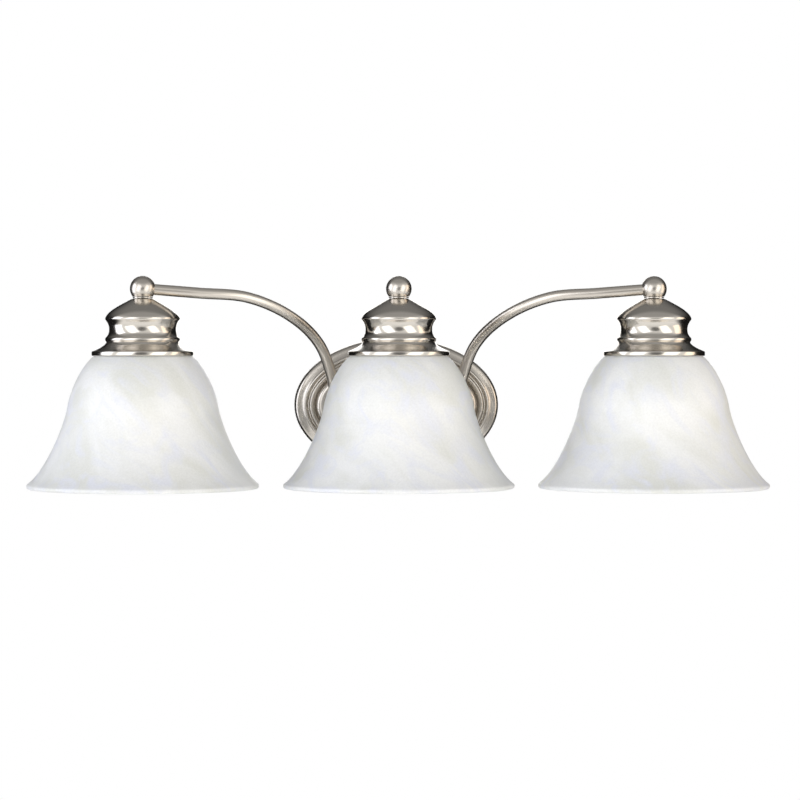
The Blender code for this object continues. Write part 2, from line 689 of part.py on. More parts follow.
# ---------------------------------------------------------------- wiring
def make_wiring():
    """Supply leads from the arms into their wire nuts, and the bare ground lead to its screw."""
    mouth = WIRE_NUT_X + WIRE_NUT_LENGTH
    for side, colour in (("left", "black"), ("right", "white")):
        sign = SIDES[side]
        root = arm_root(side)
        tail = CANOPY_DEPTH - ARM_TAIL
        nut_at = Vector((sign * WIRE_NUT_X, -WIRE_NUT_DEPTH, WIRE_NUT_Z))
        points = [
            root + Vector((0, -tail - 0.006, 0)),
            root + Vector((0, -tail, 0)),
            root + Vector((0, -tail * 0.70, -0.004)),
            root + Vector((-sign * 0.003, -tail * 0.72, -0.012)),
            Vector((sign * (mouth + 0.014), -WIRE_NUT_DEPTH, WIRE_NUT_Z + 0.008)),
            Vector((sign * (mouth + 0.006), -WIRE_NUT_DEPTH, WIRE_NUT_Z)),
            Vector((sign * (mouth - 0.006), -WIRE_NUT_DEPTH, WIRE_NUT_Z)),
        ]
        rod_along(f"lead_{colour}", smooth_route(points, 2), LEAD_RADIUS, f"{colour}_lead")
        make_wire_nut(f"wire_nut_{colour}", nut_at, sign)
    root = arm_root("center")
    tail = CANOPY_DEPTH - ARM_TAIL
    head = CROSSBAR_THICKNESS + GAP + SCREW_HEAD_HEIGHT * 0.5
    edge = (SCREW_HEAD_RADIUS + GROUND_LEAD_RADIUS) * 1.08 + GAP
    points = [
        root + Vector((0, -tail - 0.006, 0)),
        root + Vector((0, -tail, 0)),
        root + Vector((0.003, -tail * 0.72, -0.005)),
        Vector((GROUND_SCREW_X * 0.55, -tail * 0.60, -SCREW_HEAD_RADIUS * 2.2)),
    ]
    for degrees in (-100, -65, -30, 5):
        turn = math.radians(degrees)
        points.append(Vector((GROUND_SCREW_X + edge * math.cos(turn), -head, edge * math.sin(turn))))
    rod_along("ground_lead", smooth_route(points, 2), GROUND_LEAD_RADIUS, "copper")


def make_wire_nut(name, at, sign):
    """A tapered twist-on connector lying along X with its mouth outwards."""
    outline = [
        (WIRE_NUT_BORE, WIRE_NUT_LENGTH * 0.35),
        (WIRE_NUT_BORE, WIRE_NUT_LENGTH),
        (WIRE_NUT_RADIUS, WIRE_NUT_LENGTH),
        (WIRE_NUT_RADIUS * 0.92, WIRE_NUT_LENGTH * 0.55),
        (WIRE_NUT_RADIUS * 0.60, 0.0),
    ]
    rings = [
        [Vector((sign * reach, p.x, p.y)) for p in circle(radius, 0.0, SMALL_ROUND)]
        for radius, reach in outline
    ]
    skin(name, rings, "orange_nylon", at, looped=False)


def main():
    clear_scene()
    make_crossbar()
    make_canopy()
    make_wall_fasteners()
    make_wiring()
    for side in SIDES:
        make_arm(side)
        make_ball(side)
        make_holder_stack(side)
        make_socket(side)
        make_shade(side)
        make_ring(side)
        make_bulb(side)


main()
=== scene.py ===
"""The looks of a three-light vanity fixture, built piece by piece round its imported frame.

Each sub-assembly is a class that holds its sizes and makes its meshes. Turned pieces come from one
geometry-nodes lathe, bent tubes and wires from one geometry-nodes sweep, and every place is read
from the frame's boxes. All lengths are metres, +Z is up and the wall is the plane Y = 0.
"""

import json
import logging
import math
from dataclasses import dataclass
from enum import Enum
from functools import cache

import bmesh
import bpy
from mathutils import Matrix, Quaternion, Vector
from mathutils.geometry import interpolate_bezier


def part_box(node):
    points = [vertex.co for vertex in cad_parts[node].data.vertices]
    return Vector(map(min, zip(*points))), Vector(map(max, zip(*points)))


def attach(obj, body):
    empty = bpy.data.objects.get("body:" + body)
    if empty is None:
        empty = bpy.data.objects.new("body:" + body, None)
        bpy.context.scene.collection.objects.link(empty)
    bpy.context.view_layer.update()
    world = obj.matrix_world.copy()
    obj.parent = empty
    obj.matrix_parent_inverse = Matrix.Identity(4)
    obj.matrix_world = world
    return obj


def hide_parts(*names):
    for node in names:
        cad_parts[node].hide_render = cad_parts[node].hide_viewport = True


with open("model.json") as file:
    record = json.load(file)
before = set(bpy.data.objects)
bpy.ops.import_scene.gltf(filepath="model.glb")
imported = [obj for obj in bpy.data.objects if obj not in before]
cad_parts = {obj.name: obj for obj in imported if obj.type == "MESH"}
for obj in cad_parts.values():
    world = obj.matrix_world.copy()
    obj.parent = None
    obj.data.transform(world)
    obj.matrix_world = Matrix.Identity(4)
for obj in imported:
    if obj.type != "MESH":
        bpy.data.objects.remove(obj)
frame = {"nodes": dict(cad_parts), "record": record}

LOG = logging.getLogger("vanity_fixture")
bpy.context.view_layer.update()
RECORD = frame["record"]
BODY_OF = {node: body for body, nodes in RECORD["behaviour"]["bodies"].items() for node in nodes}
SIDES = ("left", "center", "right")
MM = 0.001
GAP = 0.3 * MM
MERGE = 2e-6
WHITE = (1.0, 1.0, 1.0, 1.0)


# ---------------------------------------------------------------- node helpers
def add(tree: bpy.types.NodeTree, kind: str, sockets: dict[str | int, object] | None = None,
        **settings: object) -> bpy.types.Node:
    """Adds one node with its settings, values and links.

    Args:
        tree: The node tree.
        kind: The node's type name.
        sockets: Input name or index to a value, or to the output socket that feeds it.
        **settings: The node's own properties.

    Returns:
        The new node.
    """
    node = tree.nodes.new(kind)
    for name, value in settings.items():
        setattr(node, name, value)
    for name, value in (sockets or {}).items():
        if isinstance(value, bpy.types.NodeSocket):
            tree.links.new(value, node.inputs[name])
        else:
            node.inputs[name].default_value = value
    return node


def srgb(code: str) -> tuple[float, float, float, float]:
    """Turns a hex sRGB colour into linear red, green, blue and alpha.

    Args:
        code: Six hex digits.

    Returns:
        The linear colour with an alpha of 1.
    """
    parts = [int(code[i : i + 2], 16) / 255 for i in (0, 2, 4)]
    linear = [p / 12.92 if p <= 0.04045 else ((p + 0.055) / 1.055) ** 2.4 for p in parts]
    return (*linear, 1.0)


# ---------------------------------------------------------------- finishes
def blank_material(name: str) -> tuple[bpy.types.Material, bpy.types.NodeTree, bpy.types.Node]:
    """A new material to be dressed.

    Args:
        name: The material's common name and how its surface was made.

    Returns:
        The material, its node tree and its shader.
    """
    made = bpy.data.materials.new(name)
    made.use_nodes = True
    return made, made.node_tree, made.node_tree.nodes["Principled BSDF"]


class Grain(Enum):
    """The fine marks that making leaves on a surface."""

    LINES = "lines"  # turning and brushing marks, along which the grain attribute stays the same
    CAST = "cast"  # an even fine grit
    SMOOTH = "smooth"  # long soft unevenness only


@dataclass(frozen=True)
class Finish:
    """One surface as it is made.

    Attributes:
        name: The material's common name and how its surface was made.
        colour: Main colour, sRGB hex.
        second: Colour that the pattern drifts towards, sRGB hex.
        roughness: Middle roughness.
        spread: How far the roughness drifts to each side of the middle.
        metallic: 1 for a metal, 0 for anything else.
        grain: The kind of fine marks.
        grain_mm: Width of one mark.
        relief_mm: Depth of the marks.
        coat: Weight of a clear glossy layer.
        cloud_mm: Size of the slow changes of colour and gloss.
        glow: White light that the surface gives of itself.
    """

    name: str
    colour: str
    second: str
    roughness: float
    spread: float = 0.05
    metallic: float = 1.0
    grain: Grain = Grain.SMOOTH
    grain_mm: float = 0.5
    relief_mm: float = 0.02
    coat: float = 0.0
    cloud_mm: float = 18.0
    glow: float = 0.0

    @cache
    def material(self) -> bpy.types.Material:
        """Makes the material, once for each finish."""
        made, tree, shader = blank_material(self.name)
        shader.inputs["Metallic"].default_value = self.metallic
        shader.inputs["Coat Weight"].default_value = self.coat
        shader.inputs["Emission Color"].default_value = WHITE
        shader.inputs["Emission Strength"].default_value = self.glow
        place = add(tree, "ShaderNodeTexCoord").outputs["Object"]
        marks = place
        if self.grain is Grain.LINES:
            marks = add(tree, "ShaderNodeAttribute", attribute_name="grain").outputs["Vector"]
        cloud = add(tree, "ShaderNodeTexNoise", {
            "Vector": place, "Scale": 1000 / self.cloud_mm, "Detail": 3.0,
        }).outputs["Fac"]
        fine = add(tree, "ShaderNodeTexNoise", {
            "Vector": marks, "Scale": 1000 / self.grain_mm, "Detail": 2.0,
        }).outputs["Fac"]
        both = add(tree, "ShaderNodeMix", {0: 0.5, 2: cloud, 3: fine}, data_type="FLOAT").outputs[0]
        tint = add(tree, "ShaderNodeMix", {0: both, 6: srgb(self.colour), 7: srgb(self.second)},
                   data_type="RGBA")
        gloss = add(tree, "ShaderNodeMapRange", {
            "Value": both, "From Min": 0.3, "From Max": 0.7,
            "To Min": self.roughness - self.spread, "To Max": self.roughness + self.spread,
        })
        relief = add(tree, "ShaderNodeBump", {
            "Strength": 0.4 if self.grain is not Grain.SMOOTH else 0.15,
            "Distance": self.relief_mm * MM, "Height": fine,
        })
        tree.links.new(tint.outputs[2], shader.inputs["Base Color"])
        tree.links.new(gloss.outputs["Result"], shader.inputs["Roughness"])
        tree.links.new(relief.outputs["Normal"], shader.inputs["Normal"])
        return made


# Nickel plate, wire-brushed: a warm grey metal whose highlights stretch across the brush lines.
BRUSHED_NICKEL = Finish("nickel_plate_brushed", "CFC9C0", "BDB7AE", 0.27, 0.04, grain=Grain.LINES,
                        grain_mm=1.2, relief_mm=0.003)
# Nickel plate on drawn tube, satin: calm long drawing marks that run the tube's length.
SATIN_TUBE = Finish("nickel_plate_satin_tube", "D2CBC1", "C8C1B7", 0.30, 0.03, grain=Grain.LINES,
                    grain_mm=2.6, relief_mm=0.002)
# Nickel plate over spun metal, lightly polished: soft mirror with faint rings round its axis.
SPUN_NICKEL = Finish("nickel_plate_spun", "D3CDC4", "C6C0B7", 0.17, 0.03, grain=Grain.LINES,
                     grain_mm=1.0, relief_mm=0.003)
# Zinc-plated steel, as drawn or stamped: cool grey with a cloudy, slightly streaked gloss.
ZINC_STEEL = Finish("zinc_plate_on_steel", "AEB1B4", "92968F", 0.36, 0.08, cloud_mm=7.0)
# Rolled aluminium sheet, stamped: pale and bright with soft clouds.
ROLLED_ALUMINIUM = Finish("aluminium_rolled", "D6D6D6", "C2C2C4", 0.30, 0.06, cloud_mm=8.0)
# Spring brass strip, rolled: yellow metal, a little tarnished.
SPRING_BRASS = Finish("brass_strip_rolled", "C9A557", "A98440", 0.32, 0.08, cloud_mm=5.0)
# Bare copper wire, drawn: red metal with darker patches.
DRAWN_COPPER = Finish("copper_wire_drawn", "C88460", "A5633F", 0.34, 0.08, cloud_mm=4.0)
# Steel screw dyed green, the colour that marks an earth screw.
DYED_STEEL = Finish("steel_dyed_green", "2C8A4B", "1F6B39", 0.32, 0.06, cloud_mm=4.0)
# Porcelain under a clear glaze: warm white and glossy, with a faint unevenness.
GLAZED_PORCELAIN = Finish("porcelain_glazed", "EFECE3", "E3DFD3", 0.22, 0.05, metallic=0.0, coat=0.5,
                          relief_mm=0.05, grain_mm=3.0)
# Phenolic resin, compression moulded: near black with a dull shine.
PHENOLIC = Finish("phenolic_moulded", "17171A", "222226", 0.38, 0.06, metallic=0.0, grain=Grain.CAST,
                  grain_mm=0.7, relief_mm=0.02)
# Nylon, injection moulded: strong colour under a fine matt grain.
MOULDED_NYLON = Finish("nylon_moulded_orange", "E0701E", "D06214", 0.45, 0.05, metallic=0.0,
                       grain=Grain.CAST, grain_mm=0.6, relief_mm=0.02)
# PVC insulation, extruded: an even skin with a slight sheen.
BLACK_PVC = Finish("pvc_extruded_black", "1B1B1C", "242425", 0.42, 0.05, metallic=0.0, cloud_mm=5.0)
WHITE_PVC = Finish("pvc_extruded_white", "E6E5E0", "DAD9D3", 0.42, 0.05, metallic=0.0, cloud_mm=5.0)
# Painted board: pale, matt and slightly cloudy, lifted by a little glow to the backdrop's white.
PALE_FLOOR = Finish("board_painted_pale", "F4F4F2", "EEEEEC", 0.75, 0.05, metallic=0.0, grain=Grain.CAST,
                    grain_mm=4.0, relief_mm=0.05, cloud_mm=300.0, glow=0.45)


@dataclass(frozen=True)
class MarbledGlass:
    """White glass marbled by hand: cloudy swirls under a satin skin, dense enough to hide the bulb.

    Attributes:
        milk: Colour of the body, sRGB hex.
        cool: Colour of the bluish veils, sRGB hex.
        warm: Colour of the denser, greener patches, sRGB hex.
        swirl_mm: Size of the swirls.
        mottle_mm: Size of the fine mottle.
        clarity: Share of light that passes without being scattered white.
    """

    milk: str = "F0F1F1"
    cool: str = "E8EAF1"
    warm: str = "E5E6E2"
    swirl_mm: float = 46.0
    mottle_mm: float = 1.6
    clarity: float = 0.20

    @cache
    def material(self) -> bpy.types.Material:
        """Makes the material once."""
        made, tree, shader = blank_material("glass_marbled_white")
        shader.inputs["IOR"].default_value = 1.5
        shader.inputs["Transmission Weight"].default_value = self.clarity
        shader.inputs["Subsurface Weight"].default_value = 0.35
        shader.inputs["Subsurface Radius"].default_value = (1.0, 1.0, 1.0)
        shader.inputs["Subsurface Scale"].default_value = 4 * MM
        place = add(tree, "ShaderNodeTexCoord").outputs["Object"]
        slant = add(tree, "ShaderNodeMapping", {
            "Vector": place, "Rotation": (0.0, 0.8, 0.25), "Scale": (2.2, 1.0, 0.8),
        }, vector_type="TEXTURE").outputs["Vector"]
        swirl = add(tree, "ShaderNodeTexNoise", {
            "Vector": slant, "Scale": 1000 / self.swirl_mm, "Detail": 4.0, "Distortion": 0.8,
        }).outputs["Fac"]
        veil = add(tree, "ShaderNodeTexNoise", {
            "Vector": slant, "Scale": 1600 / self.swirl_mm, "Detail": 3.0, "Distortion": 1.6,
        }).outputs["Fac"]
        mottle = add(tree, "ShaderNodeTexNoise", {
            "Vector": place, "Scale": 1000 / self.mottle_mm, "Detail": 2.0,
        }).outputs["Fac"]
        dense = add(tree, "ShaderNodeMapRange", {"Value": swirl, "From Min": 0.42, "From Max": 0.66})
        thin = add(tree, "ShaderNodeMapRange", {"Value": veil, "From Min": 0.48, "From Max": 0.70})
        body = add(tree, "ShaderNodeMix", {0: dense.outputs[0], 6: srgb(self.milk), 7: srgb(self.warm)},
                   data_type="RGBA")
        veiled = add(tree, "ShaderNodeMix", {0: thin.outputs[0], 6: body.outputs[2], 7: srgb(self.cool)},
                     data_type="RGBA")
        speck = add(tree, "ShaderNodeMapRange", {
            "Value": mottle, "From Min": 0.3, "From Max": 0.7, "To Min": 0.93, "To Max": 1.0,
        })
        flecked = add(tree, "ShaderNodeMix", {0: 1.0, 6: veiled.outputs[2], 7: speck.outputs[0]},
                      data_type="RGBA", blend_type="MULTIPLY")
        gloss = add(tree, "ShaderNodeMapRange", {
            "Value": mottle, "From Min": 0.3, "From Max": 0.7, "To Min": 0.40, "To Max": 0.52,
        })
        relief = add(tree, "ShaderNodeBump", {"Strength": 0.25, "Distance": 0.05 * MM, "Height": mottle})
        tree.links.new(flecked.outputs[2], shader.inputs["Base Color"])
        tree.links.new(gloss.outputs[0], shader.inputs["Roughness"])
        tree.links.new(relief.outputs["Normal"], shader.inputs["Normal"])
        return made


@dataclass(frozen=True)
class FrostedBulb:
    """Thin glass frosted on its inside, glowing softly and evenly.

    Attributes:
        colour: The frost's colour, sRGB hex.
        second: Colour of its denser grains, sRGB hex.
        glow: The colour of its light, sRGB hex.
        strength: How bright the glow is.
        frost_mm: Size of the frost's grains.
    """

    colour: str = "E4E2DA"
    second: str = "DAD8CF"
    glow: str = "FFF4E2"
    strength: float = 0.30
    frost_mm: float = 0.8

    @cache
    def material(self) -> bpy.types.Material:
        """Makes the material once."""
        made, tree, shader = blank_material("glass_frosted_bulb")
        shader.inputs["Emission Color"].default_value = srgb(self.glow)
        shader.inputs["Emission Strength"].default_value = self.strength
        place = add(tree, "ShaderNodeTexCoord").outputs["Object"]
        frost = add(tree, "ShaderNodeTexNoise", {
            "Vector": place, "Scale": 1000 / self.frost_mm, "Detail": 2.0,
        }).outputs["Fac"]
        tint = add(tree, "ShaderNodeMix", {0: frost, 6: srgb(self.colour), 7: srgb(self.second)},
                   data_type="RGBA")
        gloss = add(tree, "ShaderNodeMapRange", {"Value": frost, "To Min": 0.22, "To Max": 0.34})
        tree.links.new(tint.outputs[2], shader.inputs["Base Color"])
        tree.links.new(gloss.outputs[0], shader.inputs["Roughness"])
        return made


MARBLED_GLASS = MarbledGlass()
FROSTED_BULB = FrostedBulb()
Surface = Finish | MarbledGlass | FrostedBulb


# ---------------------------------------------------------------- outlines and paths
Point = tuple[float, float]
Outline = list[Point]


def curve(start: Point, start_handle: Point, end_handle: Point, end: Point, count: int = 8) -> Outline:
    """Points on a Bezier curve, without its first point.

    Args:
        start: First point, as radius and height.
        start_handle: The first handle, from the first point.
        end_handle: The last handle, from the last point.
        end: Last point.
        count: How many points to return.

    Returns:
        The points after the first.
    """
    a, d = Vector((*start, 0)), Vector((*end, 0))
    b, c = a + Vector((*start_handle, 0)), d + Vector((*end_handle, 0))
    return [(p.x, p.y) for p in interpolate_bezier(a, b, c, d, count + 1)[1:]]


def arc(centre: Point, radius: float, start: float, end: float, count: int = 6) -> Outline:
    """Points on a round stretch, its ends included.

    Args:
        centre: The arc's centre, as radius and height.
        radius: The arc's own radius.
        start: First angle in degrees.
        end: Last angle in degrees.
        count: How many points.

    Returns:
        The points in order.
    """
    angles = [math.radians(start + (end - start) * i / (count - 1)) for i in range(count)]
    return [(centre[0] + radius * math.cos(a), centre[1] + radius * math.sin(a)) for a in angles]


def inner_wall(outer: Outline, wall: float) -> Outline:
    """The outline moved to its own left by the wall's thickness, with mitred corners.

    Args:
        outer: The outline.
        wall: The distance.

    Returns:
        The moved outline, in the same order.
    """
    points = [Vector(p) for p in outer]
    normals = []
    for a, b in zip(points, points[1:]):
        along = (b - a).normalized()
        normals.append(Vector((-along.y, along.x)))
    moved = []
    for point, m, n in zip(points, [normals[0], *normals], [*normals, normals[-1]]):
        moved.append(tuple(point + (m + n) * wall / max(0.4, 1 + m.dot(n))))
    return moved


def straight(start: Point, end: Point, count: int) -> Outline:
    """Evenly spaced points on a straight stretch, its ends included.

    Args:
        start: First point.
        end: Last point.
        count: How many points.

    Returns:
        The points in order.
    """
    a, b = Vector(start), Vector(end)
    return [tuple(a.lerp(b, i / (count - 1))) for i in range(count)]


def smooth_route(points: list[Vector], steps: int) -> list[Vector]:
    """A smooth curve through the points, straight where neighbouring stretches are in line.

    Args:
        points: The points that the curve passes.
        steps: How many pieces each bent stretch is cut into.

    Returns:
        The curve's points.
    """
    ahead = [(b - a).normalized() for a, b in zip(points, points[1:])]
    turns = [ahead[0]] + [(a + b).normalized() for a, b in zip(ahead, ahead[1:])] + [ahead[-1]]
    route = [points[0]]
    for i in range(len(ahead)):
        third = (points[i + 1] - points[i]).length / 3
        first = points[i] + turns[i] * third
        second = points[i + 1] - turns[i + 1] * third
        route += interpolate_bezier(points[i], first, second, points[i + 1], steps + 1)[1:]
    return route


# ---------------------------------------------------------------- geometry-nodes trees
def new_tree(name: str, inputs: dict[str, tuple[str, float | None]]) -> bpy.types.NodeTree:
    """A geometry-nodes tree with a geometry input and output and these named sizes.

    Args:
        name: The tree's name.
        inputs: Name to socket type and default value.

    Returns:
        The tree, with its group input node named In.
    """
    tree = bpy.data.node_groups.new(name, "GeometryNodeTree")
    tree.interface.new_socket("Geometry", in_out="INPUT", socket_type="NodeSocketGeometry")
    for label, (kind, value) in inputs.items():
        socket = tree.interface.new_socket(label, in_out="INPUT", socket_type=kind)
        if value is not None:
            socket.default_value = value
    tree.interface.new_socket("Geometry", in_out="OUTPUT", socket_type="NodeSocketGeometry")
    add(tree, "NodeGroupInput", name="In")
    return tree


def finish_tree(tree: bpy.types.NodeTree, geometry: bpy.types.NodeSocket) -> None:
    """Ends a tree in Realize Instances and Set Material.

    Args:
        tree: The tree.
        geometry: The socket that holds the made geometry.
    """
    real = add(tree, "GeometryNodeRealizeInstances", {"Geometry": geometry})
    inward = tree.nodes["In"].outputs["Material"]
    dressed = add(tree, "GeometryNodeSetMaterial", {"Geometry": real.outputs[0], "Material": inward})
    add(tree, "NodeGroupOutput", {0: dressed.outputs[0]})


def lathe_tree() -> bpy.types.NodeTree:
    """The lathe: turns an outline about Z, and cuts a rounded thread into the wall of one radius.

    Returns:
        The tree.
    """
    tree = new_tree("Lathe", {
        "Segments": ("NodeSocketInt", 64),
        "Thread Radius": ("NodeSocketFloat", 0.0),
        "Thread Depth": ("NodeSocketFloat", 0.0),
        "Thread Pitch": ("NodeSocketFloat", 0.001),
        "Thread Low": ("NodeSocketFloat", 0.0),
        "Thread High": ("NodeSocketFloat", 0.0),
        "Material": ("NodeSocketMaterial", None),
    })
    given = tree.nodes["In"].outputs
    here = add(tree, "GeometryNodeInputPosition").outputs[0]
    profile = add(tree, "GeometryNodeStoreNamedAttribute",
                  {"Geometry": given["Geometry"], "Name": "grain", "Value": here},
                  data_type="FLOAT_VECTOR", domain="POINT").outputs[0]
    path = add(tree, "GeometryNodeCurvePrimitiveCircle",
               {"Resolution": given["Segments"], "Radius": 1.0}).outputs[0]
    step = add(tree, "GeometryNodeInputIndex").outputs[0]
    share = add(tree, "ShaderNodeMath", {0: step, 1: given["Segments"]}, operation="DIVIDE").outputs[0]
    turn = add(tree, "ShaderNodeMath", {0: share, 1: math.tau}, operation="MULTIPLY").outputs[0]
    marked = add(tree, "GeometryNodeStoreNamedAttribute", {"Geometry": path, "Name": "turn", "Value": turn},
                 data_type="FLOAT", domain="POINT").outputs[0]
    swept = add(tree, "GeometryNodeCurveToMesh", {"Curve": marked, "Profile Curve": profile}).outputs[0]

    grain = add(tree, "GeometryNodeInputNamedAttribute", {"Name": "grain"}, data_type="FLOAT_VECTOR").outputs[0]
    angle = add(tree, "GeometryNodeInputNamedAttribute", {"Name": "turn"}, data_type="FLOAT").outputs[0]
    radius, height = add(tree, "ShaderNodeSeparateXYZ", {0: grain}).outputs[:2]
    pitches = add(tree, "ShaderNodeMath", {0: height, 1: given["Thread Pitch"]}, operation="DIVIDE").outputs[0]
    climb = add(tree, "ShaderNodeMath", {0: pitches, 1: math.tau}, operation="MULTIPLY").outputs[0]
    phase = add(tree, "ShaderNodeMath", {0: climb, 1: angle}, operation="SUBTRACT").outputs[0]
    swing = add(tree, "ShaderNodeMath", {0: phase}, operation="COSINE").outputs[0]
    wave = add(tree, "ShaderNodeMath", {0: swing, 1: 0.5, 2: 0.5}, operation="MULTIPLY_ADD").outputs[0]
    amount = add(tree, "ShaderNodeMath", {0: wave, 1: given["Thread Depth"]}, operation="MULTIPLY").outputs[0]
    for test, sockets in (
        ("COMPARE", {0: radius, 1: given["Thread Radius"], 2: 0.1 * MM}),
        ("GREATER_THAN", {0: height, 1: given["Thread Low"]}),
        ("LESS_THAN", {0: height, 1: given["Thread High"]}),
    ):
        mask = add(tree, "ShaderNodeMath", sockets, operation=test).outputs[0]
        amount = add(tree, "ShaderNodeMath", {0: amount, 1: mask}, operation="MULTIPLY").outputs[0]
    cut = add(tree, "ShaderNodeMath", {0: radius, 1: amount}, operation="SUBTRACT").outputs[0]
    across = []
    for wanted in ("COSINE", "SINE"):
        part = add(tree, "ShaderNodeMath", {0: angle}, operation=wanted).outputs[0]
        across.append(add(tree, "ShaderNodeMath", {0: cut, 1: part}, operation="MULTIPLY").outputs[0])
    spot = add(tree, "ShaderNodeCombineXYZ", {0: across[0], 1: across[1], 2: height}).outputs[0]
    turned = add(tree, "GeometryNodeSetPosition", {"Geometry": swept, "Position": spot})
    finish_tree(tree, turned.outputs[0])
    return tree


def sweep_tree() -> bpy.types.NodeTree:
    """The sweep: draws a round tube or rod along a path, keeping its cross-section as its grain.

    Returns:
        The tree.
    """
    tree = new_tree("Sweep", {
        "Radius": ("NodeSocketFloat", 0.001),
        "Sides": ("NodeSocketInt", 24),
        "Filled": ("NodeSocketBool", True),
        "Material": ("NodeSocketMaterial", None),
    })
    given = tree.nodes["In"].outputs
    ring = add(tree, "GeometryNodeCurvePrimitiveCircle",
               {"Resolution": given["Sides"], "Radius": given["Radius"]})
    here = add(tree, "GeometryNodeInputPosition").outputs[0]
    kept = add(tree, "GeometryNodeStoreNamedAttribute",
               {"Geometry": ring.outputs[0], "Name": "grain", "Value": here},
               data_type="FLOAT_VECTOR", domain="POINT")
    swept = add(tree, "GeometryNodeCurveToMesh", {
        "Curve": given["Geometry"], "Profile Curve": kept.outputs[0], "Fill Caps": given["Filled"],
    })
    finish_tree(tree, swept.outputs[0])
    return tree


def ribs_tree() -> bpy.types.NodeTree:
    """Grip ribs: sets copies of one rounded rib evenly round a vertical axis.

    Returns:
        The tree.
    """
    tree = new_tree("Ribs", {
        "Count": ("NodeSocketInt", 24),
        "Ring Radius": ("NodeSocketFloat", 0.01),
        "Material": ("NodeSocketMaterial", None),
    })
    given = tree.nodes["In"].outputs
    ring = add(tree, "GeometryNodeCurvePrimitiveCircle",
               {"Resolution": given["Count"], "Radius": given["Ring Radius"]})
    step = add(tree, "GeometryNodeInputIndex").outputs[0]
    share = add(tree, "ShaderNodeMath", {0: step, 1: given["Count"]}, operation="DIVIDE").outputs[0]
    turn = add(tree, "ShaderNodeMath", {0: share, 1: math.tau}, operation="MULTIPLY").outputs[0]
    facing = add(tree, "ShaderNodeCombineXYZ", {0: 0.0, 1: 0.0, 2: turn})
    copies = add(tree, "GeometryNodeInstanceOnPoints", {
        "Points": ring.outputs[0], "Instance": given["Geometry"], "Rotation": facing.outputs[0],
    })
    finish_tree(tree, copies.outputs[0])
    return tree


TREES = {"Lathe": lathe_tree(), "Sweep": sweep_tree(), "Ribs": ribs_tree()}


def placed(name: str, data: bpy.types.ID) -> bpy.types.Object:
    """A new object in the scene for this mesh, curve, light or camera."""
    obj = bpy.data.objects.new(name, data)
    bpy.context.scene.collection.objects.link(obj)
    return obj


def baked(obj: bpy.types.Object) -> bpy.types.Mesh:
    """The object's mesh with its modifiers applied. The object is removed.

    Args:
        obj: The object.

    Returns:
        The plain mesh.
    """
    bpy.context.view_layer.update()
    graph = bpy.context.evaluated_depsgraph_get()
    mesh = bpy.data.meshes.new_from_object(obj.evaluated_get(graph), depsgraph=graph)
    bpy.data.objects.remove(obj, do_unlink=True)
    return mesh


def run_tree(source: bpy.types.Object, tree_name: str, sizes: dict[str, object]) -> bpy.types.Mesh:
    """Runs a tree on an object, and removes the object.

    Args:
        source: The object that holds the outline, path or rib.
        tree_name: Which tree.
        sizes: The tree's named inputs and their values.

    Returns:
        The made mesh.
    """
    tree = TREES[tree_name]
    modifier = source.modifiers.new(tree_name, "NODES")
    modifier.node_group = tree
    identifiers = {item.name: item.identifier for item in tree.interface.items_tree if item.in_out == "INPUT"}
    for name, value in sizes.items():
        modifier[identifiers[name]] = value
    return baked(source)


def poly_curve(name: str, points: Outline | list[Vector], cyclic: bool) -> bpy.types.Object:
    """A curve object of one poly spline.

    Args:
        name: The object's name.
        points: Two- or three-number points.
        cyclic: True for a closed spline.

    Returns:
        The object, linked to the scene.
    """
    data = bpy.data.curves.new(name, "CURVE")
    data.dimensions = "3D"
    spline = data.splines.new("POLY")
    spline.points.add(len(points) - 1)
    for point, given in zip(spline.points, points):
        x, y, z = (*given, 0.0)[:3]
        point.co = (x, y, z, 1.0)
    spline.use_cyclic_u = cyclic
    return placed(name, data)


# ---------------------------------------------------------------- meshes
def shaded(mesh: bpy.types.Mesh, angle: float = 35.0) -> bpy.types.Mesh:
    """Shades a mesh smooth, and leaves edges sharper than this many degrees sharp."""
    mesh.shade_smooth()
    mesh.set_sharp_from_angle(angle=math.radians(angle))
    return mesh


def face_out(mesh: bpy.types.Mesh, angle: float = 35.0) -> bpy.types.Mesh:
    """Closes a mesh's seams, turns its faces outwards and shades it smooth.

    Args:
        mesh: The mesh.
        angle: Edges sharper than this many degrees stay sharp.

    Returns:
        The same mesh.
    """
    bm = bmesh.new()
    bm.from_mesh(mesh)
    bmesh.ops.remove_doubles(bm, verts=bm.verts, dist=MERGE)
    bmesh.ops.dissolve_degenerate(bm, dist=1e-7, edges=bm.edges)
    bmesh.ops.recalc_face_normals(bm, faces=bm.faces)
    bm.to_mesh(mesh)
    bm.free()
    return shaded(mesh, angle)


def piece(name: str, mesh: bpy.types.Mesh, finish: Surface, node: str) -> bpy.types.Object:
    """Puts a finished mesh in the scene in place of the CAD node it stands for.

    Args:
        name: The piece's name.
        mesh: Its mesh, already in place.
        finish: Its finish.
        node: The CAD node that it stands for, and whose body it takes.

    Returns:
        The piece.
    """
    mesh.materials.clear()
    mesh.materials.append(finish.material())
    obj = placed(name, mesh)
    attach(obj, BODY_OF[node])
    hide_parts(node)
    return obj


@dataclass(frozen=True)
class Thread:
    """A rounded screw thread on one wall of a turned piece.

    Attributes:
        radius: The wall's radius.
        pitch: Height of one turn.
        depth: How deep it is cut, negative to raise it from a bore's wall.
        low: Lowest height.
        high: Highest height.
    """

    radius: float
    pitch: float
    depth: float
    low: float
    high: float


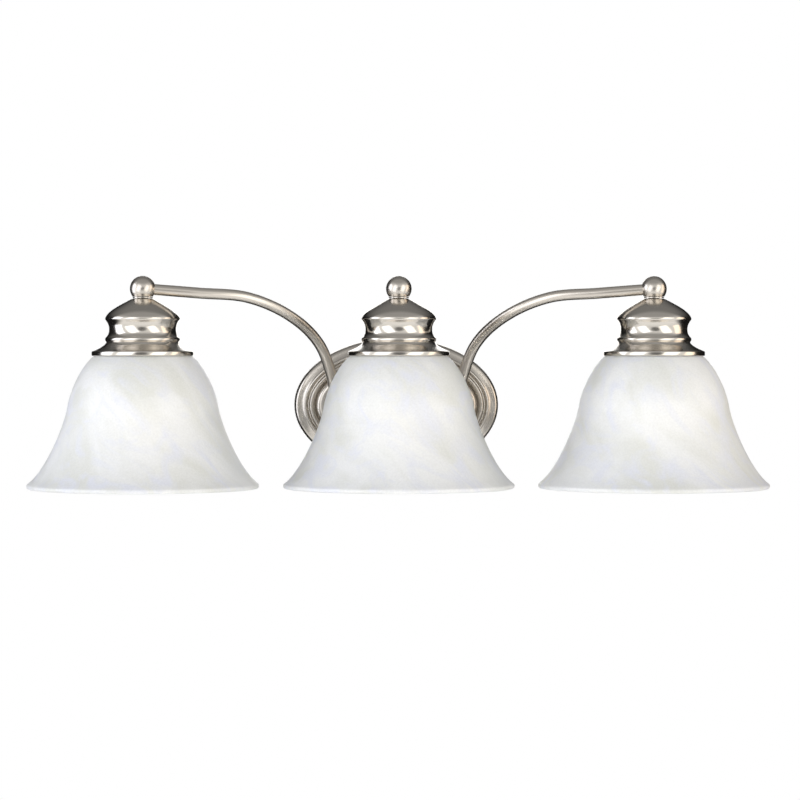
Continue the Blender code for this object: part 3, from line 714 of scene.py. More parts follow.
def stand(mesh: bpy.types.Mesh, at: Vector, forward: bool) -> bpy.types.Mesh:
    """Moves a mesh made round +Z to its place, and lays its axis along -Y if it points forward."""
    turn = Matrix.Rotation(math.radians(90), 4, "X") if forward else Matrix.Identity(4)
    mesh.transform(Matrix.Translation(at) @ turn)
    return mesh


def lathe(outline: Outline, at: Vector, finish: Surface, segments: int = 64,
          thread: Thread | None = None, forward: bool = False) -> bpy.types.Mesh:
    """Turns a closed outline about its axis and puts it in place.

    Args:
        outline: Radius and height points, in either direction.
        at: Where its axis starts.
        finish: Its finish.
        segments: How many steps round.
        thread: A thread on one of its walls.
        forward: True to lay the axis along -Y instead of +Z.

    Returns:
        The mesh.
    """
    source = poly_curve("outline", outline, True)
    sizes = {"Segments": segments, "Material": finish.material()}
    if thread:
        sizes |= {
            "Thread Radius": thread.radius, "Thread Depth": thread.depth, "Thread Pitch": thread.pitch,
            "Thread Low": thread.low, "Thread High": thread.high,
        }
    return face_out(stand(run_tree(source, "Lathe", sizes), at, forward))


def sweep(route: list[Vector], radius: float, finish: Surface, sides: int = 24,
          wall: float = 0.0) -> bpy.types.Mesh:
    """Draws a rod along a route, or a tube open at both ends when it has a wall.

    Args:
        route: The centre line.
        radius: Outer radius.
        finish: Its finish.
        sides: How many sides the cross-section has.
        wall: Wall thickness, 0 for a solid rod.

    Returns:
        The mesh.
    """
    source = poly_curve("route", route, False)
    sizes = {"Radius": radius, "Sides": sides, "Filled": not wall, "Material": finish.material()}
    mesh = run_tree(source, "Sweep", sizes)
    if wall:
        face_out(mesh)
        holder = placed("tube", mesh)
        shell = holder.modifiers.new("wall", "SOLIDIFY")
        shell.thickness = wall
        shell.offset = -1.0
        mesh = baked(holder)
    return face_out(mesh)


def skin(rings: list[list[Vector]], looped: bool = True,
         grain: list[tuple[float, float, float]] | None = None) -> bpy.types.Mesh:
    """A closed mesh through rings of points.

    Args:
        rings: The rings, all with the same number of points.
        looped: True to join the last ring to the first, False to cap both.
        grain: One grain coordinate for each ring.

    Returns:
        The mesh.
    """
    bm = bmesh.new()
    layer = bm.verts.layers.float_vector.new("grain")
    rows = []
    for i, ring in enumerate(rings):
        row = [bm.verts.new(point) for point in ring]
        for vert in row:
            vert[layer] = Vector(grain[i]) if grain else vert.co
        rows.append(row)
    pairs = list(zip(rows, rows[1:]))
    if looped:
        pairs.append((rows[-1], rows[0]))
    else:
        bm.faces.new(rows[0])
        bm.faces.new(rows[-1])
    for low, high in pairs:
        for i in range(len(low)):
            j = (i + 1) % len(low)
            bm.faces.new((low[i], low[j], high[j], high[i]))
    mesh = bpy.data.meshes.new("skin")
    bm.to_mesh(mesh)
    bm.free()
    return face_out(mesh)


def joined(meshes: list[bpy.types.Mesh]) -> bpy.types.Mesh:
    """Puts several meshes into one.

    Args:
        meshes: The meshes, which are used up.

    Returns:
        One mesh with all of their bodies.
    """
    bm = bmesh.new()
    for mesh in meshes:
        bm.from_mesh(mesh)
    whole = bpy.data.meshes.new("joined")
    bm.to_mesh(whole)
    bm.free()
    return shaded(whole)


def cut_away(mesh: bpy.types.Mesh, cutters: list[bpy.types.Mesh]) -> bpy.types.Mesh:
    """Subtracts closed cutters from a mesh.

    Args:
        mesh: The mesh.
        cutters: What is taken away.

    Returns:
        The mesh that is left.
    """
    body = placed("body", mesh)
    tools = []
    for i, cutter in enumerate(cutters):
        tool = placed(f"cutter_{i}", cutter)
        boolean = body.modifiers.new("cut", "BOOLEAN")
        boolean.operation = "DIFFERENCE"
        boolean.object = tool
        tools.append(tool)
    left = baked(body)
    for tool in tools:
        bpy.data.objects.remove(tool, do_unlink=True)
    return shaded(left)


def peg(at: Vector, radius: float, start: float, end: float, forward: bool = True) -> bpy.types.Mesh:
    """A plain round cutter for a hole.

    Args:
        at: A point on its axis.
        radius: The hole's radius.
        start: Where it starts along its axis.
        end: Where it ends.
        forward: True for an axis along -Y, False for +Z.

    Returns:
        The closed mesh.
    """
    outline = [(0.0, start), (radius, start), (radius, end), (0.0, end)]
    return lathe(outline, at, ZINC_STEEL, 32, forward=forward)


def hex_nut(at: Vector, flats: float, bore: float, thickness: float, pitch: float,
            forward: bool) -> bpy.types.Mesh:
    """A hexagonal nut with chamfered corners and a threaded bore.

    Args:
        at: The middle of its lower face.
        flats: Size across its flats.
        bore: Radius of its bore at the threads' crests.
        thickness: Its height.
        pitch: The thread's pitch.
        forward: True to lay its axis along -Y.

    Returns:
        The mesh.
    """
    around = 72
    heights = [0.0, 0.06, 0.12, 0.18, 0.5, 0.82, 0.88, 0.94, 1.0]
    inside = [i / 24 for i in range(25)]
    apothem = flats / 2

    def outer(angle: float, share: float) -> float:
        """The radius of a flat or a chamfered corner, at a share of the height."""
        side = (angle + math.pi / 6) % (math.pi / 3) - math.pi / 6
        edge = min(share, 1 - share) * thickness
        return min(apothem / math.cos(side), apothem + edge * 1.9)

    rings = []
    angles = [math.tau * i / around for i in range(around)]
    for share in heights:
        rings.append([polar(outer(a, share), a, share * thickness) for a in angles])
    for share in reversed(inside):
        height = share * thickness
        phases = [math.tau * height / pitch - a for a in angles]
        radii = [bore + pitch * 0.12 * (1 + math.cos(phase)) for phase in phases]
        rings.append([polar(radius, a, height) for radius, a in zip(radii, angles)])
    return stand(skin(rings), at, forward)


def softened(node: str, width: float) -> bpy.types.Mesh:
    """A CAD node's mesh with its sharp edges rounded.

    Args:
        node: The CAD node.
        width: Width of the rounding.

    Returns:
        The new mesh.
    """
    mesh = frame["nodes"][node].data.copy()
    bm = bmesh.new()
    bm.from_mesh(mesh)
    bmesh.ops.remove_doubles(bm, verts=bm.verts, dist=MERGE)
    bmesh.ops.dissolve_limit(bm, angle_limit=math.radians(2), verts=bm.verts, edges=bm.edges)
    bmesh.ops.recalc_face_normals(bm, faces=bm.faces)
    bm.to_mesh(mesh)
    bm.free()
    holder = placed("softened", mesh)
    bevel = holder.modifiers.new("edges", "BEVEL")
    bevel.width = width
    bevel.segments = 2
    bevel.limit_method = "ANGLE"
    bevel.angle_limit = math.radians(40)
    return face_out(baked(holder), angle=20.0)


def polar(radius: float, angle: float, height: float) -> Vector:
    """A point from its radius, angle and height."""
    return Vector((radius * math.cos(angle), radius * math.sin(angle), height))


def middle(node: str) -> Vector:
    """The middle of a CAD node's box."""
    low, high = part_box(node)
    return (low + high) / 2


def extent(node: str) -> Vector:
    """The size of a CAD node's box."""
    low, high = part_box(node)
    return high - low


def upright(node: str, level: float = 0.0) -> tuple[float, float, float]:
    """The lowest and highest height of an upright CAD node over a level, and its radius."""
    low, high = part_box(node)
    return low.z - level, high.z - level, (high.x - low.x) / 2


def on_wall(node: str) -> Vector:
    """The point of the wall plane that is behind a CAD node's middle."""
    return middle(node) * Vector((1, 0, 1))


def light_axis(side: str) -> Vector:
    """The point on a light's axis at the level of its holder's rim."""
    at = middle(f"holder_{side}")
    return Vector((at.x, at.y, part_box(f"holder_{side}")[0].z))


# ---------------------------------------------------------------- the lights
@dataclass
class Shade:
    """The bell-shaped glass shade.

    Attributes:
        side: Which light.
        wall: Thickness of the glass.
        waist_radius: Radius where the bell starts to flare.
        waist_drop: How far that is below the holder's rim.
        hole_radius: Radius of the hole in its flat top.
        shoulder: How far the neck is rounded in to the flat top.
        rim_radius: Radius of the rim's fire-rounded edge.
        rim_turn: Where the outer face leaves that edge, in degrees.
    """

    side: str
    wall: float = 3.0 * MM
    waist_radius: float = 64.1 * MM
    waist_drop: float = 43.2 * MM
    hole_radius: float = 21.0 * MM
    shoulder: float = 11.2 * MM
    rim_radius: float = 2.3 * MM
    rim_turn: float = 55.0

    def rim_centre(self) -> tuple[float, float]:
        """The centre of the rim's round edge, as radius and height from the holder's rim."""
        low, _, wide = upright(f"shade_{self.side}", light_axis(self.side).z)
        inset = self.rim_radius + 0.05 * MM
        return wide - inset, low + inset

    def outline(self) -> Outline:
        """The outer face from the mouth up to the hole.

        Returns:
            Radius and height points, from the holder's rim.
        """
        top = upright(f"shade_{self.side}", light_axis(self.side).z)[1]
        bead = self.rim_centre()
        turn = math.radians(self.rim_turn)
        mouth = (bead[0] + self.rim_radius * math.cos(turn), bead[1] + self.rim_radius * math.sin(turn))
        neck = (extent(f"holder_{self.side}").x / 2 - 1.9 * MM, 0.0)
        waist = (self.waist_radius, -self.waist_drop)
        points = [mouth]
        points += curve(mouth, (-15.5 * MM, 11.5 * MM), (2.4 * MM, -15.4 * MM), waist, 18)
        points += curve(waist, (-2.0 * MM, 12.7 * MM), (11.3 * MM, -8.9 * MM), neck, 14)
        inset = (neck[0] - self.shoulder, top)
        points += curve(neck, (-3.0 * MM, 2.6 * MM), (2.2 * MM, -0.9 * MM), inset, 8)
        points += [(self.hole_radius + 0.6 * MM, top), (self.hole_radius, top - 0.6 * MM)]
        return points

    def build(self) -> bpy.types.Object:
        """Makes the shade with a fire-rounded rim.

        Returns:
            The piece.
        """
        outer = self.outline()
        inner = inner_wall(outer, self.wall)
        inner[-2:] = [(self.hole_radius + 0.6 * MM, outer[-2][1] - self.wall),
                      (self.hole_radius, outer[-2][1] - self.wall + 0.6 * MM)]
        bead = Vector(self.rim_centre())
        inner = [p for p in inner if (Vector(p) - bead).length > self.rim_radius * 1.02]
        away = Vector(inner[0]) - bead
        start = math.degrees(math.atan2(away.y, away.x)) % 360
        rim = arc(tuple(bead), self.rim_radius, start, 360 + self.rim_turn, 14)[:-1]
        mesh = lathe(outer + inner[::-1] + rim, light_axis(self.side), MARBLED_GLASS, 96)
        return piece(f"bell_glass_{self.side}", mesh, MARBLED_GLASS, f"shade_{self.side}")


@dataclass
class Holder:
    """The spun metal holder: lip, cove, groove, bead, waist, sharp ridge and dome.

    Attributes:
        side: Which light.
        wall: Thickness of the metal.
        hole_radius: Radius of the hole for the nipple.
    """

    side: str
    wall: float = 1.0 * MM
    hole_radius: float = 5.1 * MM

    def outline(self) -> Outline:
        """The outer face from the rim up.

        Returns:
            Radius and height points, from the rim.
        """
        size = extent(f"holder_{self.side}")
        rim, top = size.x / 2, size.z
        groove = (rim - 12.6 * MM, 11.6 * MM)
        ridge = (rim - 11.5 * MM, 31.2 * MM)
        waist = (rim - 14.9 * MM, 22.8 * MM)
        crown = (9.0 * MM, top - 0.1 * MM)
        points = arc((rim - 0.9 * MM, 0.9 * MM), 0.9 * MM, -80, 0, 5)
        points += arc((rim - 1.1 * MM, 3.0 * MM), 1.1 * MM, 0, 60, 5)
        points += curve(points[-1], (-3.6 * MM, 1.6 * MM), (1.4 * MM, -3.4 * MM), groove, 12)
        points += arc((rim - 13.8 * MM, 14.1 * MM), 2.35 * MM, -45, 50, 9)
        points += curve(points[-1], (-1.6 * MM, 1.6 * MM), (0.0, -3.4 * MM), waist, 8)
        points += curve(waist, (0.0, 4.2 * MM), (-1.4 * MM, -2.2 * MM), ridge, 8)
        points += [(ridge[0] + 0.05 * MM, ridge[1] + 0.5 * MM)]
        points += curve(points[-1], (-1.6 * MM, 6.8 * MM), (8.6 * MM, -4.6 * MM), crown, 16)
        points += [(self.hole_radius, top)]
        return points

    def build(self) -> bpy.types.Object:
        """Makes the holder.

        Returns:
            The piece.
        """
        outer = self.outline()
        inner = inner_wall(outer, self.wall)
        top = outer[-1][1]
        inner[-1] = (self.hole_radius, top - self.wall)
        inner[0] = (outer[0][0] - self.wall * 0.9, 0.3 * MM)
        mesh = lathe(outer + inner[::-1], light_axis(self.side), SPUN_NICKEL, 96)
        return piece(f"spun_holder_{self.side}", mesh, SPUN_NICKEL, f"holder_{self.side}")


@dataclass
class Finial:
    """The ball over a light with its arm bore, and the washer that it stands on.

    Attributes:
        side: Which light.
        nipple_bore: Radius of the bore for the nipple.
    """

    side: str
    nipple_bore: float = 5.1 * MM

    def centre(self) -> Vector:
        """The ball's centre."""
        axis = light_axis(self.side)
        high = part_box(f"ball_{self.side}")[1]
        return Vector((axis.x, axis.y, high.z - self.radius()))

    def radius(self) -> float:
        """The ball's radius."""
        size = extent(f"ball_{self.side}")
        return max(size.x, size.y) / 2

    def build(self, towards: Vector, bore: float) -> list[bpy.types.Object]:
        """Makes the ball and its washer.

        Args:
            towards: The direction from which the arm comes in.
            bore: Radius of the bore that takes the arm.

        Returns:
            The two pieces.
        """
        centre, radius = self.centre(), self.radius()
        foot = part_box(f"ball_{self.side}")[0].z - centre.z
        lowest = math.degrees(math.asin(foot / radius))
        outline = [(0.0, foot + 5.3 * MM), (self.nipple_bore, foot + 5.3 * MM), (self.nipple_bore, foot)]
        outline += [(p[0], p[1]) for p in arc((0, 0), radius, lowest, 90, 28)]
        ball = lathe(outline, centre, BRUSHED_NICKEL, 64)
        tool = peg(Vector((0, 0, 0)), bore, 0.0, radius * 1.5, forward=False)
        tool.transform(Matrix.Translation(centre) @ towards.to_track_quat("Z", "Y").to_matrix().to_4x4())
        ball = cut_away(ball, [tool])
        bottom, top, wide = upright(f"seat_washer_{self.side}")
        round_edge = 0.35 * MM
        washer = [(self.nipple_bore, bottom), (wide - round_edge, bottom)]
        washer += arc((wide - round_edge, bottom + round_edge), round_edge, -90, 0, 4)[1:]
        washer += arc((wide - round_edge, top - round_edge), round_edge, 0, 90, 4)
        washer += [(self.nipple_bore, top)]
        axis = light_axis(self.side)
        disc = lathe(washer, Vector((axis.x, axis.y, 0)), SPUN_NICKEL, 64)
        return [
            piece(f"ball_finial_{self.side}", ball, BRUSHED_NICKEL, f"ball_{self.side}"),
            piece(f"washer_{self.side}", disc, SPUN_NICKEL, f"seat_washer_{self.side}"),
        ]


@dataclass
class Lampholder:
    """What is inside a light's holder: nipple, nut, porcelain socket, screw shell, contact and ring.

    Attributes:
        side: Which light.
        lamp_pitch: Pitch of the lamp's thread.
        ring_pitch: Pitch of the ring's thread.
        fine_pitch: Pitch of the nipple's thread.
    """

    side: str
    lamp_pitch: float = 3.6 * MM
    ring_pitch: float = 3.0 * MM
    fine_pitch: float = 0.94 * MM

    def build(self) -> list[bpy.types.Object]:
        """Makes all of the lampholder's pieces.

        Returns:
            The pieces.
        """
        return [self.nipple(), self.nut(), self.socket(), self.shell(), self.contact(), self.ring()]

    def nipple(self) -> bpy.types.Object:
        """The all-thread tube that joins ball, holder and socket."""
        node, axis, bore = f"nipple_{self.side}", light_axis(self.side), 3.4 * MM
        bottom, top, wide = upright(node)
        steps = int((top - bottom) / self.fine_pitch * 6)
        outline = straight((wide, bottom), (wide, top), steps) + [(bore, top), (bore, bottom)]
        thread = Thread(wide, self.fine_pitch, 0.35 * MM, bottom + GAP, top - GAP)
        mesh = lathe(outline, Vector((axis.x, axis.y, 0)), ZINC_STEEL, 32, thread)
        return piece(f"thread_tube_{self.side}", mesh, ZINC_STEEL, node)

    def nut(self) -> bpy.types.Object:
        """The hex nut that clamps the holder."""
        node = f"nipple_nut_{self.side}"
        low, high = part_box(node)
        at = middle(node)
        mesh = hex_nut(Vector((at.x, at.y, low.z)), high.y - low.y, 5.1 * MM, high.z - low.z,
                       self.fine_pitch, False)
        return piece(f"holder_nut_{self.side}", mesh, ZINC_STEEL, node)

    def socket(self) -> bpy.types.Object:
        """The porcelain body with its flange, shoulders and outside thread."""
        node, axis = f"socket_{self.side}", light_axis(self.side)
        bottom, top, flange = upright(node, axis.z)
        seat, shoulder = 9.3 * MM, 12.3 * MM
        skirt, body, cavity = 17.6 * MM, 17.0 * MM, 14.3 * MM
        roof = extent(f"screw_shell_{self.side}").z + bottom + 5.0 * MM
        wall = straight((skirt, bottom + 0.8 * MM), (skirt, seat - 0.6 * MM), 44)
        outline = [(cavity, bottom), (skirt - 0.8 * MM, bottom)] + wall
        outline += [(skirt, seat), (flange - 0.6 * MM, seat)]
        outline += arc((flange - 0.6 * MM, seat + 0.6 * MM), 0.6 * MM, -80, 0, 4)
        outline += arc((flange - 0.8 * MM, shoulder - 0.8 * MM), 0.8 * MM, 0, 90, 4)
        outline += arc((body + 1.5 * MM, shoulder + 1.5 * MM), 1.5 * MM, -90, -180, 5)
        outline += arc((body - 4 * MM, top - 4 * MM), 4.0 * MM, 0, 80, 7)
        outline += [(5.3 * MM, top), (5.3 * MM, top - 8.4 * MM), (3.4 * MM, top - 8.4 * MM), (3.4 * MM, roof)]
        outline += [(cavity, roof)]
        thread = Thread(skirt, self.ring_pitch, 0.8 * MM, bottom + 1.2 * MM, seat - 1.0 * MM)
        mesh = lathe(outline, axis, GLAZED_PORCELAIN, 64, thread)
        return piece(f"porcelain_socket_{self.side}", mesh, GLAZED_PORCELAIN, node)

    def shell(self) -> bpy.types.Object:
        """The rolled screw shell that takes the lamp."""
        node, axis = f"screw_shell_{self.side}", light_axis(self.side)
        bottom, top, wide = upright(node, axis.z)
        inner = wide - 0.5 * MM
        steps = int((top - bottom) / self.lamp_pitch * 10)
        outline = straight((inner, bottom), (inner, top), steps) + [(wide, top), (wide, bottom)]
        thread = Thread(inner, self.lamp_pitch, -0.35 * MM, bottom + 1 * MM, top - 1 * MM)
        mesh = lathe(outline, axis, ROLLED_ALUMINIUM, 48, thread)
        return piece(f"lamp_shell_{self.side}", mesh, ROLLED_ALUMINIUM, node)

    def contact(self) -> bpy.types.Object:
        """The bent brass strip over the lamp's tip, with rounded edges."""
        node = f"center_contact_{self.side}"
        holder = placed("strip", face_out(frame["nodes"][node].data.copy()))
        bevel = holder.modifiers.new("edges", "BEVEL")
        bevel.width = 0.12 * MM
        bevel.segments = 2
        return piece(f"contact_strip_{self.side}", face_out(baked(holder)), SPRING_BRASS, node)

    def ring(self) -> bpy.types.Object:
        """The moulded ring that holds the shade, with grip ribs and an inside thread."""
        node, axis = f"shade_ring_{self.side}", light_axis(self.side)
        bottom, top, flange = upright(node, axis.z)
        bore, sleeve = 18.25 * MM, 21.0 * MM
        under = top - 3.0 * MM
        outline = straight((bore, top - 0.5 * MM), (bore, bottom + 0.5 * MM), 30)
        outline += [(bore + 0.5 * MM, bottom), (sleeve - 0.5 * MM, bottom), (sleeve, bottom + 0.5 * MM)]
        outline += arc((sleeve + 0.8 * MM, under - 0.8 * MM), 0.8 * MM, 180, 90, 4)
        outline += arc((flange - 0.8 * MM, under + 0.8 * MM), 0.8 * MM, -90, 0, 5)
        outline += arc((flange - 0.5 * MM, top - 0.5 * MM), 0.5 * MM, 0, 90, 4)
        outline += [(bore + 0.5 * MM, top)]
        thread = Thread(bore, self.ring_pitch, -0.5 * MM, bottom + 1 * MM, top - 1 * MM)
        body = lathe(outline, axis, PHENOLIC, 72, thread)
        section = ((-0.4, -0.7), (0.7, -0.35), (0.7, 0.35), (-0.4, 0.7))
        rib = skin([
            [Vector((x * MM, y * MM, z)) for x, y in section]
            for z in (0.4 * MM, under - bottom - 0.2 * MM)
        ], looped=False)
        ribs = run_tree(placed("rib", rib), "Ribs", {
            "Count": 24, "Ring Radius": sleeve - 0.1 * MM, "Material": PHENOLIC.material(),
        })
        ribs.transform(Matrix.Translation(axis + Vector((0, 0, bottom))))
        return piece(f"retaining_ring_{self.side}", joined([body, face_out(ribs)]), PHENOLIC, node)


@dataclass
class Bulb:
    """A frosted bulb with its rolled screw base.

    Attributes:
        side: Which light.
        pitch: Pitch of its thread.
        watts: Power of the light that it gives its shade.
        warmth: The colour of that light, sRGB hex.
        lift: Height of the filament above the globe's centre.
    """

    side: str
    pitch: float = 3.6 * MM
    watts: float = 0.20
    warmth: str = "FFF3DF"
    lift: float = 10.0 * MM

    def build(self) -> list[bpy.types.Object]:
        """Makes the base and the glass.

        Returns:
            The two pieces.
        """
        axis = light_axis(self.side)
        bottom, top, wide = upright(f"bulb_base_{self.side}", axis.z)
        inner = wide - 1.0 * MM
        wall = straight((wide, bottom + 2.5 * MM), (wide, top - 6.0 * MM), 44)
        base = [(inner, top - 7.5 * MM), (inner, bottom), (wide, bottom)] + wall
        base += arc((wide - 2.5 * MM, top - 5.8 * MM), 2.5 * MM, 0, 60, 5)
        base += [(wide * 0.62, top - 2.2 * MM), (wide * 0.42, top - 1.7 * MM)]
        base += arc((0.0, top - 3.2 * MM), 3.2 * MM, 40, 90, 6)
        base += [(0.0, top - 7.5 * MM)]
        thread = Thread(wide, self.pitch, 0.6 * MM, bottom + 2.8 * MM, top - 6.2 * MM)
        cap = lathe(base, axis, ROLLED_ALUMINIUM, 48, thread)

        drop, neck_top, globe_radius = upright(f"bulb_glass_{self.side}", axis.z)
        globe = (globe_radius, drop + globe_radius)
        neck = (inner - GAP, bottom)
        outer = [(0.0, drop)]
        outer += curve((0.0, drop), (16.6 * MM, 0.0), (0.0, -16.6 * MM), globe, 18)
        outer += curve(globe, (0.0, 16.0 * MM), (0.0, -16.0 * MM), neck, 18)
        outer += [(neck[0], neck_top)]
        hollow = inner_wall(outer, 0.8 * MM)
        hollow[0] = (0.0, drop + 0.8 * MM)
        glass = lathe(outer + hollow[::-1], axis, FROSTED_BULB, 64)
        return [
            piece(f"lamp_base_{self.side}", cap, ROLLED_ALUMINIUM, f"bulb_base_{self.side}"),
            piece(f"lamp_glass_{self.side}", glass, FROSTED_BULB, f"bulb_glass_{self.side}"),
        ]

    def light(self, shade: bpy.types.Object) -> None:
        """Lights the shade from inside, by a soft ball of light within the globe.

        Args:
            shade: The only piece that it lights.
        """
        node = f"bulb_glass_{self.side}"
        bottom, _, globe_radius = upright(node)
        at = middle(node)
        data = bpy.data.lights.new(f"lamp_light_{self.side}", "POINT")
        data.energy = self.watts
        data.color = srgb(self.warmth)[:3]
        data.shadow_soft_size = 0.7 * globe_radius
        lamp = placed(data.name, data)
        lamp.location = (at.x, at.y, bottom + globe_radius + self.lift)
        lamp.visible_camera = False
        lit = bpy.data.collections.new(f"lit_by_lamp_{self.side}")
        lit.objects.link(shade)
        lamp.light_linking.receiver_collection = lit
        lamp.light_linking.blocker_collection = lit


# ---------------------------------------------------------------- arms and canopy
# Shares of an arm's span across, forward and up, at each bend.
SIDE_BENDS = (
    (0.024, 0.19, 0.248),
    (0.085, 0.33, 0.519),
    (0.234, 0.60, 0.764),
    (0.460, 0.83, 0.928),
    (0.713, 0.94, 0.964),
)
CENTER_BENDS = (
    (0.0, 0.135, 0.13),
    (0.0, 0.200, 0.43),
    (0.0, 0.335, 0.76),
    (0.0, 0.640, 0.955),
)


@dataclass
class Arm:
    """A bent tube from the canopy to a light's ball, with its collar and lock nut.

    Attributes:
        side: Which light.
        radius: The tube's outer radius.
        wall: The tube's wall.
        lead_out: The straight stretch past the collar.
        insertion: How deep the tube sits in the ball.
        bends: Shares of the span across, forward and up, at each bend.
    """

    side: str
    radius: float = 4.75 * MM
    wall: float = 1.0 * MM
    lead_out: float = 5.0 * MM
    insertion: float = 5.0 * MM
    bends: tuple[tuple[float, float, float], ...] = ()

    def route(self, ball: Vector, ball_radius: float) -> list[Vector]:
        """The points that the centre line passes.

        Args:
            ball: The ball's centre.
            ball_radius: The ball's radius.

        Returns:
            The points, from inside the canopy to inside the ball.
        """
        collar = middle(f"arm_collar_{self.side}")
        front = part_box(f"arm_collar_{self.side}")[0].y - 2 * GAP
        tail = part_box(f"arm_{self.side}")[1].y
        start = Vector((collar.x, front - self.lead_out, collar.z))
        span = ball - start
        points = [Vector((collar.x, tail, collar.z)), Vector((collar.x, front, collar.z)), start]
        points += [start + Vector((span.x * x, span.y * y, span.z * z)) for x, y, z in self.bends]
        towards = (points[-1] - ball).normalized()
        points.append(ball + towards * (ball_radius + GAP))
        points.append(ball + towards * (ball_radius - self.insertion))
        return points

    def build(self, ball: Vector, ball_radius: float) -> list[bpy.types.Object]:
        """Makes the tube, collar and lock nut.

        Args:
            ball: The ball's centre.
            ball_radius: The ball's radius.

        Returns:
            The pieces.
        """
        route = self.route(ball, ball_radius)
        tube = sweep(smooth_route(route, 14), self.radius, SATIN_TUBE, 32, self.wall)
        node = f"arm_collar_{self.side}"
        low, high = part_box(node)
        wide, height, at = (high.x - low.x) / 2, high.y - low.y, middle(node)
        bore = self.radius + 0.25 * MM
        rise = 0.9 * MM
        collar = [(bore, 0.0), (wide, 0.0)]
        collar += arc((wide - rise, rise * 1.4), rise, 0, 80, 6)
        collar += curve(collar[-1], (-1.6 * MM, 0.0), (0.0, -1.8 * MM), (wide * 0.74, height - rise), 8)
        collar += arc((wide * 0.74 - 0.5 * MM, height - 0.5 * MM), 0.5 * MM, 0, 90, 4)
        collar += [(bore, height)]
        disc = lathe(collar, Vector((at.x, high.y, at.z)), BRUSHED_NICKEL, 64, forward=True)
        node = f"arm_locknut_{self.side}"
        low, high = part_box(node)
        at = middle(node)
        nut = hex_nut(Vector((at.x, high.y, at.z)), high.z - low.z, bore, high.y - low.y, 0.94 * MM, True)
        return [
            piece(f"bent_arm_{self.side}", tube, SATIN_TUBE, f"arm_{self.side}"),
            piece(f"collar_{self.side}", disc, BRUSHED_NICKEL, f"arm_collar_{self.side}"),
            piece(f"lock_nut_{self.side}", nut, ZINC_STEEL, node),
        ]


@dataclass
class Canopy:
    """The oval pan against the wall, with two raised beads round a flat panel.

    Attributes:
        wall: Thickness of the sheet.
        segments: Steps round the oval.
        arm_bore: Radius of the holes for the arms.
        stud_bore: Radius of the holes for the studs.
    """

    wall: float = 1.2 * MM
    segments: int = 144
    arm_bore: float = 5.05 * MM
    stud_bore: float = 2.7 * MM

    def outline(self, depth: float) -> Outline:
        """The outer face from the wall to the flat panel.

        Args:
            depth: How far the panel stands out.

        Returns:
            Change of the oval's size and distance from the wall.
        """
        points = [(0.0, 0.0), (-0.1 * MM, depth * 0.10), (-0.5 * MM, depth * 0.30)]
        points += curve(points[-1], (-0.3 * MM, depth * 0.10), (1.6 * MM, -0.6 * MM),
                        (-3.6 * MM, depth * 0.52), 6)
        points += curve(points[-1], (-2.6 * MM, 0.9 * MM), (0.6 * MM, -1.0 * MM),
                        (-9.2 * MM, depth * 0.66), 8)
        points += arc((-10.4 * MM, depth * 0.70), 1.7 * MM, -10, 185, 12)
        points += curve(points[-1], (-0.3 * MM, -0.9 * MM), (0.4 * MM, -1.2 * MM),
                        (-14.4 * MM, depth * 0.72), 8)
        points += arc((-15.8 * MM, depth * 0.76), 1.5 * MM, -10, 185, 12)
        points += curve(points[-1], (-0.2 * MM, -1.4 * MM), (0.6 * MM, -1.4 * MM),
                        (-19.6 * MM, depth * 0.80), 6)
        points += curve(points[-1], (-1.2 * MM, 2.6 * MM), (2.4 * MM, -0.1 * MM), (-24.5 * MM, depth), 8)
        points += [(-36.0 * MM, depth)]
        return points

    def build(self) -> bpy.types.Object:
        """Makes the pan and cuts its holes.

        Returns:
            The piece.
        """
        low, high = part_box("canopy")
        half_x, half_z, depth = (high.x - low.x) / 2, (high.z - low.z) / 2, high.y - low.y
        outer = self.outline(depth)
        inner = inner_wall(outer, self.wall)
        inner[0] = (inner[0][0], 0.0)
        inner[-1] = (inner[-1][0], depth - self.wall)
        rings, grain = [], []
        for change, out in [*reversed(inner), *outer]:
            ring = []
            wide, tall = half_x + change, half_z + change
            for i in range(self.segments):
                angle = math.tau * i / self.segments
                ring.append(Vector((wide * math.cos(angle), -out, tall * math.sin(angle))))
            rings.append(ring)
            grain.append((change, out, 0.0))
        pan = skin(rings, looped=False, grain=grain)
        bores = [(f"arm_collar_{side}", self.arm_bore) for side in SIDES]
        bores += [(f"crossbar_stud_{side}", self.stud_bore) for side in ("left", "right")]
        holes = [peg(on_wall(node), radius, depth * 0.5, depth * 1.2) for node, radius in bores]
        return piece("oval_canopy", cut_away(pan, holes), BRUSHED_NICKEL, "canopy")


